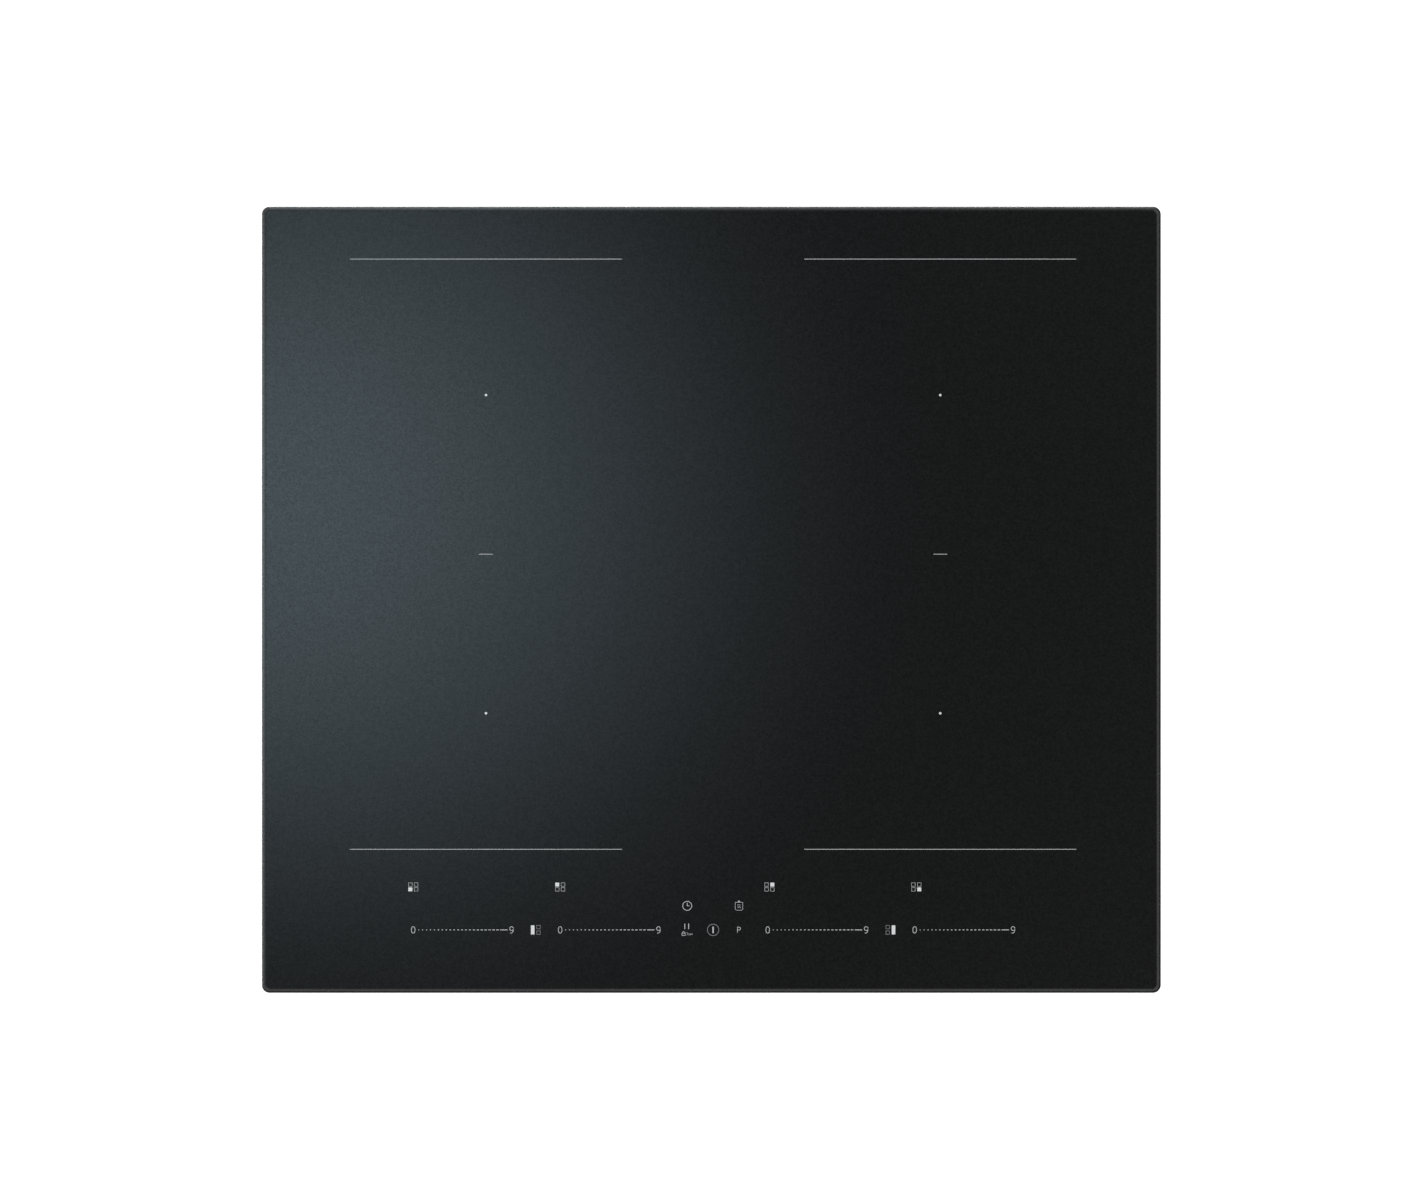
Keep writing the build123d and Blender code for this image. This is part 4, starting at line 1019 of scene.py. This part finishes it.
# %% Mix the sectors of the dome
heading = add(world, "ShaderNodeTexCoord", {}).outputs["Generated"]
sine = add(world, "ShaderNodeSeparateXYZ", {"Vector": heading}).outputs["Z"]
rise = add(world, "ShaderNodeMapRange", {"Value": sine, "From Min": -1.0}).outputs["Result"]
left_and_back = {0: heading, 1: (-1, 1, 0)}
level = add(world, "ShaderNodeVectorMath", left_and_back, operation="MULTIPLY").outputs["Vector"]
level = add(world, "ShaderNodeVectorMath", {0: level}, operation="NORMALIZE").outputs["Vector"]
level = add(world, "ShaderNodeSeparateXYZ", {"Vector": level}).outputs
nearest = add(world, "ShaderNodeMath", {0: level["X"], 1: level["Y"]}, operation="MAXIMUM").outputs["Value"]
sector = {"Value": nearest, "From Min": BRIGHT_WIDTH[0], "From Max": BRIGHT_WIDTH[1]}
share = add(world, "ShaderNodeMapRange", sector, interpolation_type="SMOOTHSTEP").outputs["Result"]
shades = {0: share, 6: by_height(DIM_LEVELS, rise), 7: by_height(BRIGHT_LEVELS, rise)}
dome = add(world, "ShaderNodeMix", shades, data_type="RGBA").outputs[2]
print("bright within", round(math.degrees(math.acos(BRIGHT_WIDTH[0])), 1), "degrees of left and back")

# %% Show white past the table
lit = world.node_tree.nodes["Background"]
world.node_tree.links.new(dome, lit.inputs["Color"])
lit.inputs["Strength"].default_value = DOME_STRENGTH
plain = add(world, "ShaderNodeBackground", {"Color": (1, 1, 1, 1), "Strength": 1.0})
seen = add(world, "ShaderNodeLightPath", {}).outputs["Is Camera Ray"]
skies = {0: seen, 1: lit.outputs["Background"], 2: plain.outputs["Background"]}
sky = add(world, "ShaderNodeMixShader", skies).outputs["Shader"]
world.node_tree.links.new(sky, world.node_tree.nodes["World Output"].inputs["Surface"])
print("dome of strength", DOME_STRENGTH)

# %% [markdown]
# ## The cool glow
# In the photograph a bluish glow lies on the left of the glass and dies out past the middle. It is the
# spread reflection of one lamp that hangs high over the left edge. A spot lamp with a fully soft cone
# gives the same round fall-off, and its cone ends where the glass turns black.

# %% Hang the lamp
GLOW_CENTRE = (-277.0, 70.0)
GLOW_REACH = 440.0
LAMP_HEIGHT = 4.0
LAMP_POWER = 22.9
LAMP_SQUEEZE = 0.885
LAMP_RADIUS = 0.06
LAMP_COLOUR = (0.66, 0.878, 1.0)

glow = Vector((*GLOW_CENTRE, 0)) * MM + Vector((0, 0, glass_high.z))
lamp = bpy.data.objects.new("cool_lamp", bpy.data.lights.new("cool_lamp", "SPOT"))
mirrored = 1 + LAMP_HEIGHT / (camera.location.z - glass_high.z)
lamp.location = (glow.x * mirrored, glow.y * mirrored, glass_high.z + LAMP_HEIGHT)
lamp.rotation_euler = (lamp.location - glow).to_track_quat("Z", "Y").to_euler()
lamp.data.energy = LAMP_POWER
lamp.data.color = LAMP_COLOUR
lamp.data.spot_size = 2 * math.atan(GLOW_REACH * MM / LAMP_HEIGHT)
lamp.data.spot_blend = 1.0
lamp.data.shadow_soft_size = LAMP_RADIUS
lamp.scale.x = LAMP_SQUEEZE
lamp.visible_camera = False
scene.collection.objects.link(lamp)
print("lamp at", [round(v, 3) for v in lamp.location], "m")
print("cone of", round(math.degrees(lamp.data.spot_size), 1), "degrees")

# %% [markdown]
# ## Two cool strips
# Just inside the left and rear edges the photograph has a cool light line, the reflection of something
# long in the upper part of the round edge. A brighter dome would light the whole edge. One strip lamp on
# each of the two sides, leaning towards the glass, lights mostly that line, and the flat glass hardly
# shows it from above.

# %% Hang two strips beside the lamp
STRIP_SIZE = (2.3, 0.3)
STRIP_AWAY = 1.29
STRIP_HEIGHT = 1.36
STRIP_POWERS = {"left": 6.5, "back": 4.2}


def strip(name, spot, turn, size, power, colour):
    """A flat lamp that the camera doesn't see."""
    made = bpy.data.objects.new(name, bpy.data.lights.new(name, "AREA"))
    made.data.shape = "RECTANGLE"
    made.data.size, made.data.size_y = size
    made.data.energy = power
    made.data.color = colour
    made.location = spot
    made.rotation_euler = turn
    made.visible_camera = False
    scene.collection.objects.link(made)
    return made


lean = math.atan2(STRIP_AWAY, STRIP_HEIGHT)
strips = {
    "left": ((glass_low.x - STRIP_AWAY, glow.y, STRIP_HEIGHT), (0, -lean, 0), STRIP_SIZE),
    "back": ((glow.x, glass_high.y + STRIP_AWAY, STRIP_HEIGHT), (-lean, 0, 0), STRIP_SIZE[::-1]),
}
for side, (spot, turn, size) in strips.items():
    strip(f"cool_strip_{side}", spot, turn, size, STRIP_POWERS[side], LAMP_COLOUR)
print("strips lean by", round(math.degrees(lean), 1), "degrees")

# %% [markdown]
# ## Light on the steep part of the edge
# Further down the same edges the photograph is brighter still, because the steep part of the edge shows
# what stands beside the pane and a little below its top. A brighter table or horizon would do it too, but
# would turn the glass white in low side views. So two upright strips stand there, and light linking lets
# them reach the pane alone.

# %% Light the edge from below
EDGE_AWAY = 0.15
EDGE_TALL = 0.05
EDGE_SPARE = 0.12
EDGE_DROP = 0.001
EDGE_LEVELS = {"left": 30.0, "back": 42.0}
EDGE_COLOUR = (1, 1, 1)

edge_only = bpy.data.collections.new("edge_only")
edge_only.objects.link(frame["nodes"]["glass_top"])
edge_height = glass_high.z - EDGE_DROP - EDGE_TALL / 2
upright = math.pi / 2
edge_wide, edge_deep = [side + 2 * EDGE_SPARE for side in (glass_high - glass_low).xy]
edges = {
    "left": ((glass_low.x - EDGE_AWAY, 0, edge_height), (0, -upright, 0), (EDGE_TALL, edge_deep)),
    "back": ((0, glass_high.y + EDGE_AWAY, edge_height), (-upright, 0, 0), (edge_wide, EDGE_TALL)),
}
for side, (spot, turn, size) in edges.items():
    power = EDGE_LEVELS[side] * math.pi * size[0] * size[1]
    made = strip(f"edge_strip_{side}", spot, turn, size, power, EDGE_COLOUR)
    made.light_linking.receiver_collection = edge_only
    print("edge strip", side, round(power, 2), "W")
